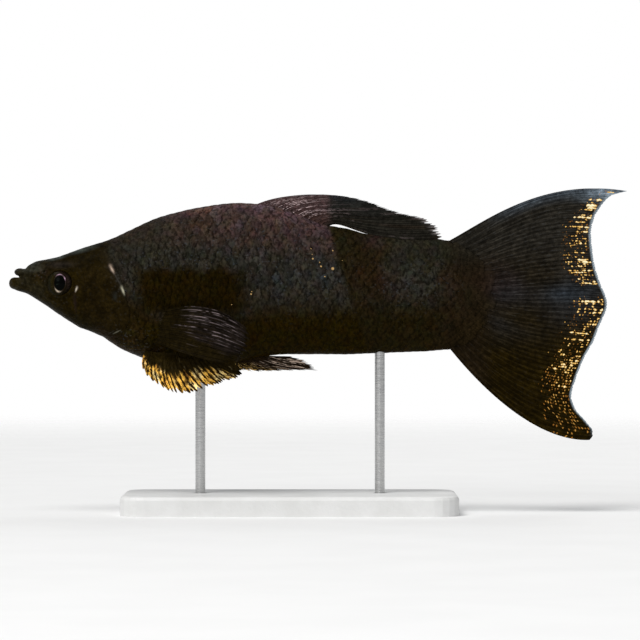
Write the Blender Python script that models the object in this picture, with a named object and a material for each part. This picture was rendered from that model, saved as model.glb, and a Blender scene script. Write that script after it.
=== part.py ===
"""Lyretail molly, a life-size still model on a plain display stand.

The fish faces -X, its left side faces -Y and +Z is up. The origin is on the
surface the stand rests on, under the middle of the model. Sizes are in
millimetres here and become metres when the vertices are made.
"""

import math

import bmesh
import bpy
import numpy as np

MM = 0.001

# ---------------------------------------------------------------- main sizes
TOTAL_LENGTH = 100.0      # snout to tip of the upper tail lobe
AXIS_HEIGHT = 36.0        # the body's level line above the table
GAP = 0.34                # clear space between neighbouring pieces
RING_SIDES = 32           # facets round the body

HEAD_START = 3.1          # where the jaws end and the head begins
GILL_NOTCH = 14.5         # gill opening at nape and throat
GILL_SWEEP = 5.4          # how far the gill cover reaches behind that
GILL_LOW = -0.42          # and at what level, -1 throat to 1 nape
STALK_START = 49.5        # trunk ends, tail stalk begins
STALK_END = 71.0          # end of the flesh at its upper and lower corner
STALK_SWEEP = 4.2         # how far its middle reaches into the tail fin

EYE_AT = (8.60, 3.42, 1.10)      # behind the snout, out from the middle, up
EYE_RADII = (2.2, 1.42, 2.2)

FIN_ROOT, FIN_EDGE = 1.0, 0.5    # fin thickness at the body and at the rim

BASE_LENGTH, BASE_WIDTH, BASE_THICK = 54.0, 26.0, 3.2
BASE_CORNER = 4.0
ROD_RADIUS = 0.8
ROD_AT = {"front": 31.0, "rear": 60.0}   # behind the snout
ROD_BITE = 1.5            # depth of the rod's seat in the body
SEAT_DEPTH = 2.0          # depth of the rod's seat in the base

# ------------------------------------------------------------ the body's form
# Each row is one cross-section: distance behind the snout, back, belly,
# half width, height of the widest point, squareness above and below it.
SECTIONS = (
    (2.6, 3.70, -0.34, 2.40, 1.7, 2.4, 2.2),
    (5.9, 4.86, -2.44, 3.60, 1.6, 2.5, 2.0),
    (8.2, 5.45, -4.04, 4.35, 1.4, 2.6, 1.9),
    (11.5, 6.63, -6.08, 5.00, 1.2, 2.5, 1.85),
    (15.0, 7.78, -7.58, 5.50, 0.9, 2.4, 1.9),
    (17.0, 8.48, -8.92, 5.75, 0.66, 2.3, 1.95),
    (19.0, 9.42, -10.02, 5.95, 0.4, 2.2, 2.0),
    (24.5, 11.88, -11.84, 6.30, -0.4, 2.1, 2.2),
    (31.8, 13.57, -12.50, 6.35, -0.8, 2.0, 2.3),
    (36.6, 14.13, -11.90, 6.15, -0.5, 2.0, 2.2),
    (41.3, 13.94, -10.88, 5.75, 0.0, 2.0, 2.1),
    (45.5, 12.84, -10.52, 5.30, 0.2, 2.0, 2.1),
    (51.3, 10.58, -10.50, 4.65, 0.1, 2.0, 2.0),
    (54.2, 10.14, -10.53, 4.30, 0.0, 2.0, 2.0),
    (57.6, 9.20, -10.42, 3.90, -0.2, 2.0, 2.0),
    (63.3, 8.40, -10.20, 3.15, -0.6, 2.0, 2.0),
    (67.3, 8.14, -10.04, 2.50, -0.8, 2.0, 2.0),
    (70.5, 8.11, -9.82, 1.85, -0.8, 2.0, 2.0),
    (75.4, 7.97, -9.70, 0.62, -0.8, 2.2, 2.2),
    (77.0, 7.97, -9.70, 0.40, -0.8, 2.2, 2.2),
)
TABLE = np.array(SECTIONS)


def smooth_curve(xs, ys, x):
    """A smooth curve through the given stations, with no overshoot."""
    xs, ys = np.asarray(xs, float), np.asarray(ys, float)
    step = np.diff(xs)
    slope = np.diff(ys) / step
    tangent = np.zeros(len(xs))
    for i in range(1, len(xs) - 1):
        a, b = slope[i - 1], slope[i]
        if a * b > 0:
            w1, w2 = 2 * step[i] + step[i - 1], step[i] + 2 * step[i - 1]
            tangent[i] = (w1 + w2) / (w1 / a + w2 / b)
    tangent[0], tangent[-1] = slope[0], slope[-1]
    x = np.clip(x, xs[0], xs[-1])
    i = np.clip(np.searchsorted(xs, x, side="right") - 1, 0, len(xs) - 2)
    t = (x - xs[i]) / step[i]
    return ((2 * t**3 - 3 * t**2 + 1) * ys[i] + (t**3 - 2 * t**2 + t) * step[i] * tangent[i]
            + (-2 * t**3 + 3 * t**2) * ys[i + 1] + (t**3 - t**2) * step[i] * tangent[i + 1])


def section(x):
    """Back, belly, half width, widest height and both squarenesses at x."""
    return [smooth_curve(TABLE[:, 0], TABLE[:, k], x) for k in range(1, 7)]


def body_point(x, angle):
    """The point of the body's surface at x, angle 0 left, 90 degrees up."""
    back, belly, half, wide, above, below = section(x)
    c, s = math.cos(angle), math.sin(angle)
    n = above if s >= 0 else below
    rise = (back - wide) if s >= 0 else (wide - belly)
    return (x, -half * math.copysign(abs(c) ** (2 / n), c),
            wide + rise * math.copysign(abs(s) ** (2 / n), s))


def flank(x, z):
    """Half width of the body at height z, 0 above its back or below its belly."""
    back, belly, half, wide, above, below = section(x)
    n, rise = (above, back - wide) if z >= wide else (below, wide - belly)
    share = min(1.0, abs(z - wide) / rise)
    return half * (1 - share**n) ** (1 / n)


def ease(a, b, x):
    t = min(1.0, max(0.0, (x - a) / (b - a)))
    return t * t * (3 - 2 * t)


def gill_shape(level):
    """The gill cover's rear edge: 0 at nape and throat, 1 at its furthest,
    which is low on the cheek."""
    if level > GILL_LOW:
        return 1 - ((level - GILL_LOW) / (1 - GILL_LOW)) ** 1.35
    return 1 - ((GILL_LOW - level) / (1 + GILL_LOW)) ** 2


def place(x, y, z):
    """Millimetres from the snout and the level line to metres in the frame."""
    return ((x - TOTAL_LENGTH / 2) * MM, y * MM, (z + AXIS_HEIGHT) * MM)


# ------------------------------------------------------------------ materials
def material(name, colour, roughness, metallic=0.0):
    m = bpy.data.materials.new(name)
    m.use_nodes = True
    shader = m.node_tree.nodes["Principled BSDF"]
    shader.inputs["Base Color"].default_value = (*colour, 1)
    shader.inputs["Roughness"].default_value = roughness
    shader.inputs["Metallic"].default_value = metallic
    return m


def new_object(name, mesh, look, smooth=True):
    mesh.name = name
    obj = bpy.data.objects.new(name, mesh)
    bpy.context.scene.collection.objects.link(obj)
    mesh.materials.append(look)
    if smooth:
        mesh.shade_smooth()
        mesh.set_sharp_from_angle(angle=math.radians(50))
    return obj


def loft(name, rings, look):
    """A closed body through rings of equal count, capped by fans."""
    bm = bmesh.new()
    loops = []
    for ring in rings:
        verts = [bm.verts.new(place(*p)) for p in ring]
        loops.append([bm.edges.new((verts[i], verts[(i + 1) % len(verts)]))
                      for i in range(len(verts))])
    for first, second in zip(loops, loops[1:]):
        bmesh.ops.bridge_loops(bm, edges=first + second)
    for loop in (loops[0], loops[-1]):
        face = bmesh.ops.contextual_create(bm, geom=loop)["faces"]
        bmesh.ops.poke(bm, faces=face, center_mode="MEAN")
    bmesh.ops.recalc_face_normals(bm, faces=bm.faces)
    mesh = bpy.data.meshes.new(name)
    bm.to_mesh(mesh)
    bm.free()
    return new_object(name, mesh, look)


def cut(obj, cutter):
    cutter.hide_render = True
    cutter.display_type = "WIRE"
    cut_by = obj.modifiers.new("cut", "BOOLEAN")
    cut_by.operation = "DIFFERENCE"
    cut_by.object = cutter


def body_rings(stations, sweep):
    """Rings whose every point is moved back by sweep(station, level)."""
    rings = []
    for u in stations:
        ring = []
        for k in range(RING_SIDES):
            angle = 2 * math.pi * k / RING_SIDES
            s = math.sin(angle)
            level = math.copysign(abs(s) ** 0.95, s)
            ring.append(body_point(u + sweep(u, level), angle))
        rings.append(ring)
    return rings


def gill_sweep(u, level):
    before, behind = ease(4.5, GILL_NOTCH, u), 1 - ease(GILL_NOTCH, 26.5, u)
    return GILL_SWEEP * min(before, behind) * gill_shape(level)


def stalk_sweep(u, level):
    return STALK_SWEEP * ease(58.0, STALK_END, u) * (1 - level**2)


# ----------------------------------------------------------------------- fins
def bezier(p0, p1, p2, p3, s):
    return ((1 - s)**3 * p0 + 3 * (1 - s)**2 * s * p1
            + 3 * (1 - s) * s * s * p2 + s**3 * p3)


class Fin:
    """A fan of rays. The base line and the rim are given from the first ray
    to the last, and the first and last ray by their two middle handles."""

    def __init__(self, base, rim, first, last):
        self.base, self.rim = np.array(base, float), np.array(rim, float)
        self.ends = [np.array(first, float), np.array(last, float)]
        self.offsets = []
        for t, handles in ((0.0, self.ends[0]), (1.0, self.ends[1])):
            root, tip = self.on(self.base, t), self.on(self.rim, t)
            length = np.linalg.norm(tip - root)
            self.offsets.append(((handles[0] - root) / length, (handles[1] - tip) / length))

    @staticmethod
    def on(points, t):
        """points holds rows (t, x, z)."""
        return np.array([smooth_curve(points[:, 0], points[:, 1], t),
                         smooth_curve(points[:, 0], points[:, 2], t)], float)

    def at(self, s, t):
        """x and z, at share s along ray t."""
        root, tip = self.on(self.base, t), self.on(self.rim, t)
        length = np.linalg.norm(tip - root)
        (a0, b0), (a1, b1) = self.offsets
        one = root + length * ((1 - t) * a0 + t * a1)
        two = tip + length * ((1 - t) * b0 + t * b1)
        return bezier(root, one, two, tip, s)


TAIL = Fin(
    base=((0, 71.35, 7.85), (0.12, 73.2, 6.1), (0.5, 75.65, -0.85), (0.88, 73.2, -7.8), (1, 71.35, -9.5)),
    rim=((0, 100.0, 16.0), (0.04, 97.4, 15.2), (0.08, 95.8, 13.5), (0.13, 94.7, 11.6),
         (0.20, 94.2, 9.1), (0.27, 94.4, 6.5), (0.34, 94.8, 3.9), (0.41, 95.6, 1.3),
         (0.51, 96.8, -2.3), (0.60, 95.4, -6.1), (0.66, 94.6, -8.2), (0.72, 93.3, -10.5),
         (0.77, 92.4, -12.5), (0.82, 91.6, -14.7), (0.87, 91.0, -17.1), (0.91, 91.6, -19.1),
         (0.95, 93.4, -21.3), (0.98, 94.6, -23.1), (1, 94.5, -24.35)),
    first=((77.2, 11.2), (86.3, 18.3)), last=((76.2, -15.6), (85.2, -24.6)),
)
DORSAL = Fin(
    base=((0, 40.2, 14.44), (0.2, 42.4, 14.10), (0.4, 44.6, 13.52), (0.6, 46.9, 12.72), (0.8, 49.1, 11.80), (1, 51.4, 10.98)),
    rim=((0, 51.3, 15.42), (0.2, 54.2, 15.2), (0.38, 57.9, 14.45), (0.54, 61.4, 13.20),
         (0.68, 64.6, 12.20), (0.80, 67.2, 11.70), (0.90, 69.3, 10.2), (0.96, 70.0, 9.3), (1, 70.2, 8.62)),
    first=((43.0, 15.15), (46.8, 15.65)), last=((55.6, 10.75), (61.0, 9.3)),
)
ANAL = Fin(
    base=((0, 36.9, -12.35), (1, 41.4, -11.38)),
    rim=((0, 37.9, -13.2), (0.2, 40.2, -13.3), (0.4, 43.6, -13.2), (0.6, 47.0, -13.05),
         (0.78, 50.2, -13.0), (0.90, 49.0, -12.25), (1, 46.1, -11.6)),
    first=((37.1, -12.6), (37.4, -12.9)), last=((42.9, -11.25), (44.6, -11.35)),
)
PECTORAL = Fin(
    base=((0, 24.4, -3.6), (1, 23.2, -8.3)),
    rim=((0, 39.0, -7.0), (0.3, 39.3, -8.8), (0.6, 38.6, -10.3), (0.8, 37.6, -11.2), (1, 35.8, -11.8)),
    first=((29.1, -1.6), (34.8, -2.7)), last=((26.9, -9.4), (31.6, -11.3)),
)
PELVIC = Fin(
    base=((0, 22.7, -10.3), (1, 30.4, -10.9)),
    rim=((0, 22.2, -12.9), (0.08, 23.0, -14.1), (0.18, 24.6, -15.4), (0.29, 26.6, -16.4), (0.40, 28.4, -16.85),
         (0.52, 30.6, -16.5), (0.64, 32.8, -15.7), (0.76, 35.1, -15.0), (0.88, 37.2, -14.0), (1, 38.2, -12.7)),
    first=((22.4, -11.2), (22.1, -12.0)), last=((32.6, -11.2), (35.4, -11.8)),
)


def no_side(x, z, s, t):
    return 0.0


def pectoral_side(x, z, s, t):
    """The paired fin leaves the flank and stands off it towards its rim."""
    leave = flank(23.4, -5.8) + 0.95 + 3.1 * s - 0.75 * s * s
    return -max(leave, flank(x, z) + 0.95 + 0.5 * s)


def pelvic_side(x, z, s, t):
    """The paired fin grows beside the belly's midline and spreads outwards."""
    leave = flank(24.5, -10.5) + 0.95 + 2.7 * s * (1 - 0.35 * t)
    return -max(leave, flank(x, z) + 0.95)


def fin_mesh(name, fin, side, along, across):
    bm = bmesh.new()
    grid = []
    for i in range(along + 1):
        row = []
        for j in range(across + 1):
            s, t = i / along, j / across
            x, z = fin.at(s, t)
            row.append(bm.verts.new(place(x, side(x, z, s, t), z)))
        grid.append(row)
    for i in range(along):
        for j in range(across):
            bm.faces.new((grid[i][j], grid[i + 1][j], grid[i + 1][j + 1], grid[i][j + 1]))
    mesh = bpy.data.meshes.new(name)
    bm.to_mesh(mesh)
    bm.free()
    return mesh


def thicken(obj, along, across):
    """Thick at the root, thin at the rim."""
    group = obj.vertex_groups.new(name="thickness")
    for v in range(len(obj.data.vertices)):
        s = (v // (across + 1)) / along
        group.add([v], max(0.0, 1 - s) ** 1.5, "REPLACE")
    solid = obj.modifiers.new("thickness", "SOLIDIFY")
    solid.thickness = FIN_ROOT * MM
    solid.offset = 0.0
    solid.vertex_group = "thickness"
    solid.thickness_vertex_group = FIN_EDGE / FIN_ROOT
    solid.use_even_offset = False


def fin(name, shape, side, look, along, across):
    obj = new_object(name, fin_mesh(name, shape, side, along, across), look)
    thicken(obj, along, across)
    return obj


def fin_pair(name, shape, side, look, along, across):
    fin(name + "_left", shape, side, look, along, across)
    mesh = fin_mesh(name + "_right", shape, lambda *a: -side(*a), along, across)
    thicken(new_object(name + "_right", mesh, look), along, across)


# ---------------------------------------------------------------- small parts
def ellipsoid(name, centre, radii, look, grow=0.0):
    bm = bmesh.new()
    bmesh.ops.create_uvsphere(bm, u_segments=20, v_segments=12, radius=1.0)
    for v in bm.verts:
        v.co = place(*(c + (r + grow) * k for c, r, k in zip(centre, radii, v.co)))
    mesh = bpy.data.meshes.new(name)
    bm.to_mesh(mesh)
    bm.free()
    return new_object(name, mesh, look)


def cylinder(name, x, low, high, radius, look, sides=20):
    bm = bmesh.new()
    bmesh.ops.create_circle(bm, cap_ends=True, segments=sides, radius=radius * MM)
    for v in bm.verts:
        px, py, pz = place(x, 0, low)
        v.co.x, v.co.y, v.co.z = v.co.x + px, v.co.y + py, pz
    side = bmesh.ops.extrude_face_region(bm, geom=list(bm.faces))["geom"]
    up = [v for v in side if isinstance(v, bmesh.types.BMVert)]
    bmesh.ops.translate(bm, verts=up, vec=(0, 0, (high - low) * MM))
    bmesh.ops.recalc_face_normals(bm, faces=bm.faces)
    mesh = bpy.data.meshes.new(name)
    bm.to_mesh(mesh)
    bm.free()
    return new_object(name, mesh, look)


def jaw(name, start, top, bottom, half, look):
    """One lip and jaw: round in front, ending flat against the head."""
    end = HEAD_START - GAP / 2
    rings = []
    for k in range(1, 8):
        share = 1 - math.cos(math.pi / 2 * k / 7)
        x = start + (end - start) * share
        swell = math.sqrt(1 - (1 - share) ** 2)
        high, low = top(x), bottom(x)
        middle, rise, wide = (high + low) / 2, (high - low) / 2, half * swell
        rise *= swell ** 0.7
        ring = []
        for a in range(18):
            angle = 2 * math.pi * a / 18
            c, s = math.cos(angle), math.sin(angle)
            ring.append((x, -wide * math.copysign(abs(c) ** 0.85, c),
                         middle + rise * math.copysign(abs(s) ** 0.85, s)))
        rings.append(ring)
    return loft(name, rings, look)


def stand_base(look):
    bm = bmesh.new()
    middle = sum(ROD_AT.values()) / 2 - TOTAL_LENGTH / 2
    bmesh.ops.create_cube(bm, size=1.0)
    for v in bm.verts:
        v.co = ((middle + v.co.x * BASE_LENGTH) * MM, v.co.y * BASE_WIDTH * MM,
                (v.co.z + 0.5) * BASE_THICK * MM)
    upright = [e for e in bm.edges if abs(e.verts[0].co.z - e.verts[1].co.z) > 1e-6]
    bmesh.ops.bevel(bm, geom=upright, offset=BASE_CORNER * MM, segments=5,
                    profile=0.5, affect="EDGES")
    top = [e for e in bm.edges if min(v.co.z for v in e.verts) > (BASE_THICK - 0.01) * MM]
    bmesh.ops.bevel(bm, geom=top, offset=0.6 * MM, segments=2, profile=0.5, affect="EDGES")
    bmesh.ops.recalc_face_normals(bm, faces=bm.faces)
    mesh = bpy.data.meshes.new("stand_base")
    bm.to_mesh(mesh)
    bm.free()
    return new_object("stand_base", mesh, look)


# ------------------------------------------------------------------- assembly
def main():
    for obj in list(bpy.data.objects):
        bpy.data.objects.remove(obj, do_unlink=True)

    skin = material("skin", (0.018, 0.015, 0.011), 0.38)
    web = material("fin", (0.014, 0.013, 0.011), 0.42)
    gold = material("gold_fin", (0.42, 0.26, 0.07), 0.45)
    glass = material("eye", (0.012, 0.011, 0.010), 0.05)
    board = material("stand", (0.86, 0.86, 0.85), 0.30)
    steel = material("rod", (0.62, 0.62, 0.61), 0.25, 1.0)

    half_gap = GAP / 2 + 0.05
    head_u = [HEAD_START + GAP / 2, 4.0, 4.9, 5.9, 7.0, 8.2, 9.5, 10.8, 12.1, 13.3, GILL_NOTCH - half_gap]
    trunk_u = [GILL_NOTCH + half_gap, 16.2, 18, 20, 22, 24.2, 26.5, 29, 31.6, 34.2, 36.8,
               39.2, 41.4, 43.6, 45.6, 47.6, STALK_START - half_gap]
    stalk_u = [STALK_START + half_gap, 51.6, 54, 56.6, 59.3, 62, 64.6, 67, 69, 70.2, STALK_END]
    head = loft("head", body_rings(head_u, gill_sweep), skin)
    trunk = loft("trunk", body_rings(trunk_u, gill_sweep), skin)
    loft("tail_stalk", body_rings(stalk_u, stalk_sweep), skin)

    jaw("upper_jaw", 0.85, lambda x: 3.0 + 0.36 * (x - 0.85), lambda x: 2.36, 2.35, skin)
    jaw("lower_jaw", 0.0, lambda x: 2.0, lambda x: 0.35 - 0.30 * x, 2.40, skin)

    for side, name in ((-1, "left"), (1, "right")):
        x, y, z = EYE_AT
        ellipsoid("eye_" + name, (x, side * y, z), EYE_RADII, glass)
        cut(head, ellipsoid("socket_" + name, (x, side * y, z), EYE_RADII, skin, grow=GAP))

    fin("tail_fin", TAIL, no_side, web, 13, 24)
    fin("dorsal_fin", DORSAL, no_side, web, 10, 12)
    fin("anal_fin", ANAL, no_side, gold, 6, 10)
    fin_pair("pectoral_fin", PECTORAL, pectoral_side, web, 10, 10)
    fin_pair("pelvic_fin", PELVIC, pelvic_side, gold, 8, 12)

    base = stand_base(board)
    floor = -AXIS_HEIGHT
    for name, x in ROD_AT.items():
        belly = float(section(x)[1])
        seat = floor + BASE_THICK - SEAT_DEPTH
        top = belly + ROD_BITE
        cylinder("stand_rod_" + name, x, seat + GAP, top, ROD_RADIUS, steel)
        cut(base, cylinder("seat_" + name, x, seat, floor + BASE_THICK + 2, ROD_RADIUS + GAP, steel))
        cut(trunk if x < STALK_START else bpy.data.objects["tail_stalk"],
            cylinder("bite_" + name, x, belly - 4, top + GAP, ROD_RADIUS + GAP, steel))


main()
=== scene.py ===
"""The looks of the lyretail molly: skin, scales, eyes, fins and stand.

Everything is modelled in the fish's own millimetres: x behind the snout, y to
the fish's right, z above its level line. to_frame() turns that into metres.
"""

import math

import bmesh
import bpy
import numpy as np
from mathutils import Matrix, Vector


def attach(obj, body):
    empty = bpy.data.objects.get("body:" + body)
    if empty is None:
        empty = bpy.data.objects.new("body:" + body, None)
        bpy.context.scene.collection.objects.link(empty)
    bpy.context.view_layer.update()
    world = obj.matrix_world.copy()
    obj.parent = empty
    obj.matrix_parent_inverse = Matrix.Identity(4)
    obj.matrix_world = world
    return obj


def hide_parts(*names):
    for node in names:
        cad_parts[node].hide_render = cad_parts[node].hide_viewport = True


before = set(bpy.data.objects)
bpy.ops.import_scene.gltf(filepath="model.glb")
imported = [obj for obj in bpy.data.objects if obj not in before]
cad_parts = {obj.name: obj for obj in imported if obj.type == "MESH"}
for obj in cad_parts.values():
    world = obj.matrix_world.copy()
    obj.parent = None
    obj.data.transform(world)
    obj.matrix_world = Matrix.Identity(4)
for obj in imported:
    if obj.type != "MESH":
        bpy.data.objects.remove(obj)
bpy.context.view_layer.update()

RNG = np.random.default_rng(7)

LENGTH, AXIS_HEIGHT = 100.0, 36.0
COAT = 0.20            # how far the skin lies under the scales' outer edges
GILL_NOTCH, GILL_SWEEP, GILL_LOW = 14.5, 5.4, -0.42
STALK_END, STALK_SWEEP = 71.0, 4.2
JOIN = 21.6            # where head and body meshes meet, hidden under scales

EYE = np.array([8.60, 3.42, 1.10])
EYE_RADII = np.array([2.2, 1.42, 2.2])


# ============================================================ small helpers
def ease(a, b, x):
    t = np.clip((np.asarray(x, float) - a) / (b - a), 0, 1)
    return t * t * (3 - 2 * t)


def bump(x, at, width):
    return np.exp(-((np.asarray(x, float) - at) / width) ** 2)


def smooth_curve(xs, ys, x):
    """A smooth curve through the given stations, with no overshoot."""
    xs, ys = np.asarray(xs, float), np.asarray(ys, float)
    step = np.diff(xs)
    slope = np.diff(ys) / step
    tangent = np.zeros(len(xs))
    for i in range(1, len(xs) - 1):
        a, b = slope[i - 1], slope[i]
        if a * b > 0:
            w1, w2 = 2 * step[i] + step[i - 1], step[i] + 2 * step[i - 1]
            tangent[i] = (w1 + w2) / (w1 / a + w2 / b)
    tangent[0], tangent[-1] = slope[0], slope[-1]
    x = np.clip(x, xs[0], xs[-1])
    i = np.clip(np.searchsorted(xs, x, side="right") - 1, 0, len(xs) - 2)
    t = (x - xs[i]) / step[i]
    return ((2 * t**3 - 3 * t**2 + 1) * ys[i] + (t**3 - 2 * t**2 + t) * step[i] * tangent[i]
            + (-2 * t**3 + 3 * t**2) * ys[i + 1] + (t**3 - t**2) * step[i] * tangent[i + 1])


def waves(seed, *coords, octaves=6, top=1.0):
    """A repeatable smooth noise of the given coordinates, about -1 to 1."""
    r = np.random.default_rng(seed)
    total = 0
    for _ in range(octaves):
        phase = r.uniform(0, 2 * math.pi)
        total = total + np.sin(sum(r.uniform(-top, top) * 6.283 * c for c in coords) + phase)
    return total / octaves * 1.6


def to_frame(p):
    p = np.asarray(p, float)
    return np.stack([p[..., 0] - LENGTH / 2, p[..., 1], p[..., 2] + AXIS_HEIGHT], -1) * 0.001


def unit(v):
    return v / np.maximum(np.linalg.norm(v, axis=-1, keepdims=True), 1e-12)


def build_mesh(name, points, quads, tris=None):
    """A mesh from arrays: points in fish millimetres, faces as index rows."""
    mesh = bpy.data.meshes.new(name)
    co = to_frame(points).astype(np.float32)
    quads = np.asarray(quads, np.int32).reshape(-1, 4)
    tris = np.zeros((0, 3), np.int32) if tris is None else np.asarray(tris, np.int32).reshape(-1, 3)
    mesh.vertices.add(len(co))
    mesh.vertices.foreach_set("co", co.ravel())
    mesh.loops.add(quads.size + tris.size)
    mesh.loops.foreach_set("vertex_index", np.concatenate([quads.ravel(), tris.ravel()]))
    starts = np.concatenate([np.arange(len(quads)) * 4, quads.size + np.arange(len(tris)) * 3])
    mesh.polygons.add(len(quads) + len(tris))
    mesh.polygons.foreach_set("loop_start", starts.astype(np.int32))
    mesh.update(calc_edges=True)
    mesh.validate()
    return mesh


def add_object(mesh, name, look):
    obj = bpy.data.objects.new(name, mesh)
    bpy.context.scene.collection.objects.link(obj)
    mesh.materials.append(look)
    mesh.shade_smooth()
    return obj


def set_point(mesh, name, values):
    values = np.asarray(values, np.float32)
    if values.ndim == 1:
        mesh.attributes.new(name, "FLOAT", "POINT").data.foreach_set("value", values)
    else:
        mesh.attributes.new(name, "FLOAT_COLOR", "POINT").data.foreach_set("color", values.ravel())


def set_uv(mesh, name, per_point=None, per_loop=None):
    layer = mesh.uv_layers.new(name=name)
    if per_loop is None:
        index = np.zeros(len(mesh.loops), np.int32)
        mesh.loops.foreach_get("vertex_index", index)
        per_loop = np.asarray(per_point)[index]
    layer.data.foreach_set("uv", np.asarray(per_loop, np.float32).ravel())


def coords_of(mesh):
    co = np.zeros(len(mesh.vertices) * 3, np.float32)
    mesh.vertices.foreach_get("co", co)
    return co.reshape(-1, 3).astype(float)


def normals_of(mesh):
    no = np.zeros(len(mesh.vertices) * 3, np.float32)
    mesh.vertices.foreach_get("normal", no)
    return no.reshape(-1, 3).astype(float)


def grid_faces(rows, cols, wrap=False, offset=0):
    """Quads of a grid of points laid out row by row."""
    r = np.arange(rows - 1)[:, None]
    c = np.arange(cols if wrap else cols - 1)[None, :]
    d = (c + 1) % cols
    q = np.stack([r * cols + c, r * cols + d, (r + 1) * cols + d, (r + 1) * cols + c], -1)
    return q.reshape(-1, 4) + offset


# ============================================================ the body's form
# distance behind the snout, back, belly, half width, height of the widest
# point, squareness above and below it
SECTIONS = np.array((
    (2.6, 3.70, -0.34, 2.40, 1.7, 2.4, 2.2),
    (5.9, 4.86, -2.44, 3.60, 1.6, 2.5, 2.0),
    (8.2, 5.45, -4.04, 4.35, 1.4, 2.6, 1.9),
    (11.5, 6.63, -6.08, 5.00, 1.2, 2.5, 1.85),
    (15.0, 7.78, -7.58, 5.50, 0.9, 2.4, 1.9),
    (17.0, 8.48, -8.92, 5.75, 0.66, 2.3, 1.95),
    (19.0, 9.42, -10.02, 5.95, 0.4, 2.2, 2.0),
    (24.5, 11.88, -11.84, 6.30, -0.4, 2.1, 2.2),
    (31.8, 13.57, -12.50, 6.35, -0.8, 2.0, 2.3),
    (36.6, 14.13, -11.90, 6.15, -0.5, 2.0, 2.2),
    (41.3, 13.94, -10.88, 5.75, 0.0, 2.0, 2.1),
    (45.5, 12.84, -10.52, 5.30, 0.2, 2.0, 2.1),
    (51.3, 10.58, -10.50, 4.65, 0.1, 2.0, 2.0),
    (54.2, 10.13, -10.53, 4.30, 0.0, 2.0, 2.0),
    (57.6, 9.20, -10.42, 3.90, -0.2, 2.0, 2.0),
    (63.3, 8.40, -10.20, 3.15, -0.6, 2.0, 2.0),
    (67.3, 8.14, -10.04, 2.50, -0.8, 2.0, 2.0),
    (70.5, 8.16, -9.82, 1.85, -0.8, 2.0, 2.0),
    (75.4, 7.97, -9.70, 0.62, -0.8, 2.2, 2.2),
    (77.0, 7.97, -9.70, 0.40, -0.8, 2.2, 2.2),
))
FINE = np.linspace(2.6, 77.0, 2600)
FINE_ROWS = [smooth_curve(SECTIONS[:, 0], SECTIONS[:, k], FINE) for k in range(1, 7)]


def section(x):
    return [np.interp(x, FINE, row) for row in FINE_ROWS]


def body(x, angle):
    """The body's surface; angle 0 is its left side, 90 degrees its back."""
    x, angle = np.broadcast_arrays(np.asarray(x, float), np.asarray(angle, float))
    back, belly, half, wide, above, below = section(x)
    c, s = np.cos(angle), np.sin(angle)
    up = s >= 0
    n = np.where(up, above, below)
    rise = np.where(up, back - wide, wide - belly)
    y = -half * np.sign(c) * np.abs(c) ** (2 / n)
    z = wide + rise * np.sign(s) * np.abs(s) ** (2 / n)
    return np.stack([x, y, z], -1)


def flank(x, z):
    back, belly, half, wide, above, below = section(x)
    up = z >= wide
    n = np.where(up, above, below)
    rise = np.where(up, back - wide, wide - belly)
    share = np.clip(np.abs(z - wide) / rise, 0, 1)
    return half * (1 - share**n) ** (1 / n)


def level_at(x, z):
    """-1 at the throat line, 1 on the back, by the section's own roundness."""
    back, belly, half, wide, above, below = section(x)
    up = z >= wide
    n = np.where(up, above, below)
    rise = np.where(up, back - wide, wide - belly)
    s = np.clip(np.abs(z - wide) / rise, 0, 1) ** (n / 2)
    return np.where(up, 1, -1) * s


def gill_shape(level):
    return np.where(level > GILL_LOW,
                    1 - np.clip((level - GILL_LOW) / (1 - GILL_LOW), 0, 1) ** 1.35,
                    1 - np.clip((GILL_LOW - level) / (1 + GILL_LOW), 0, 1) ** 2)


def ring(u, angle):
    """The body's surface along rings that follow gill cover and tail base,
    and straighten slowly behind the gill cover."""
    s = np.sin(angle)
    level = np.sign(s) * np.abs(s) ** 0.95
    gill = GILL_SWEEP * np.minimum(ease(4.5, GILL_NOTCH, u), 1 - ease(GILL_NOTCH, 42.0, u))
    tail = STALK_SWEEP * ease(58.0, STALK_END, u) * (1 - level**2)
    return body(u + gill * gill_shape(level) + tail, angle)


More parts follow.
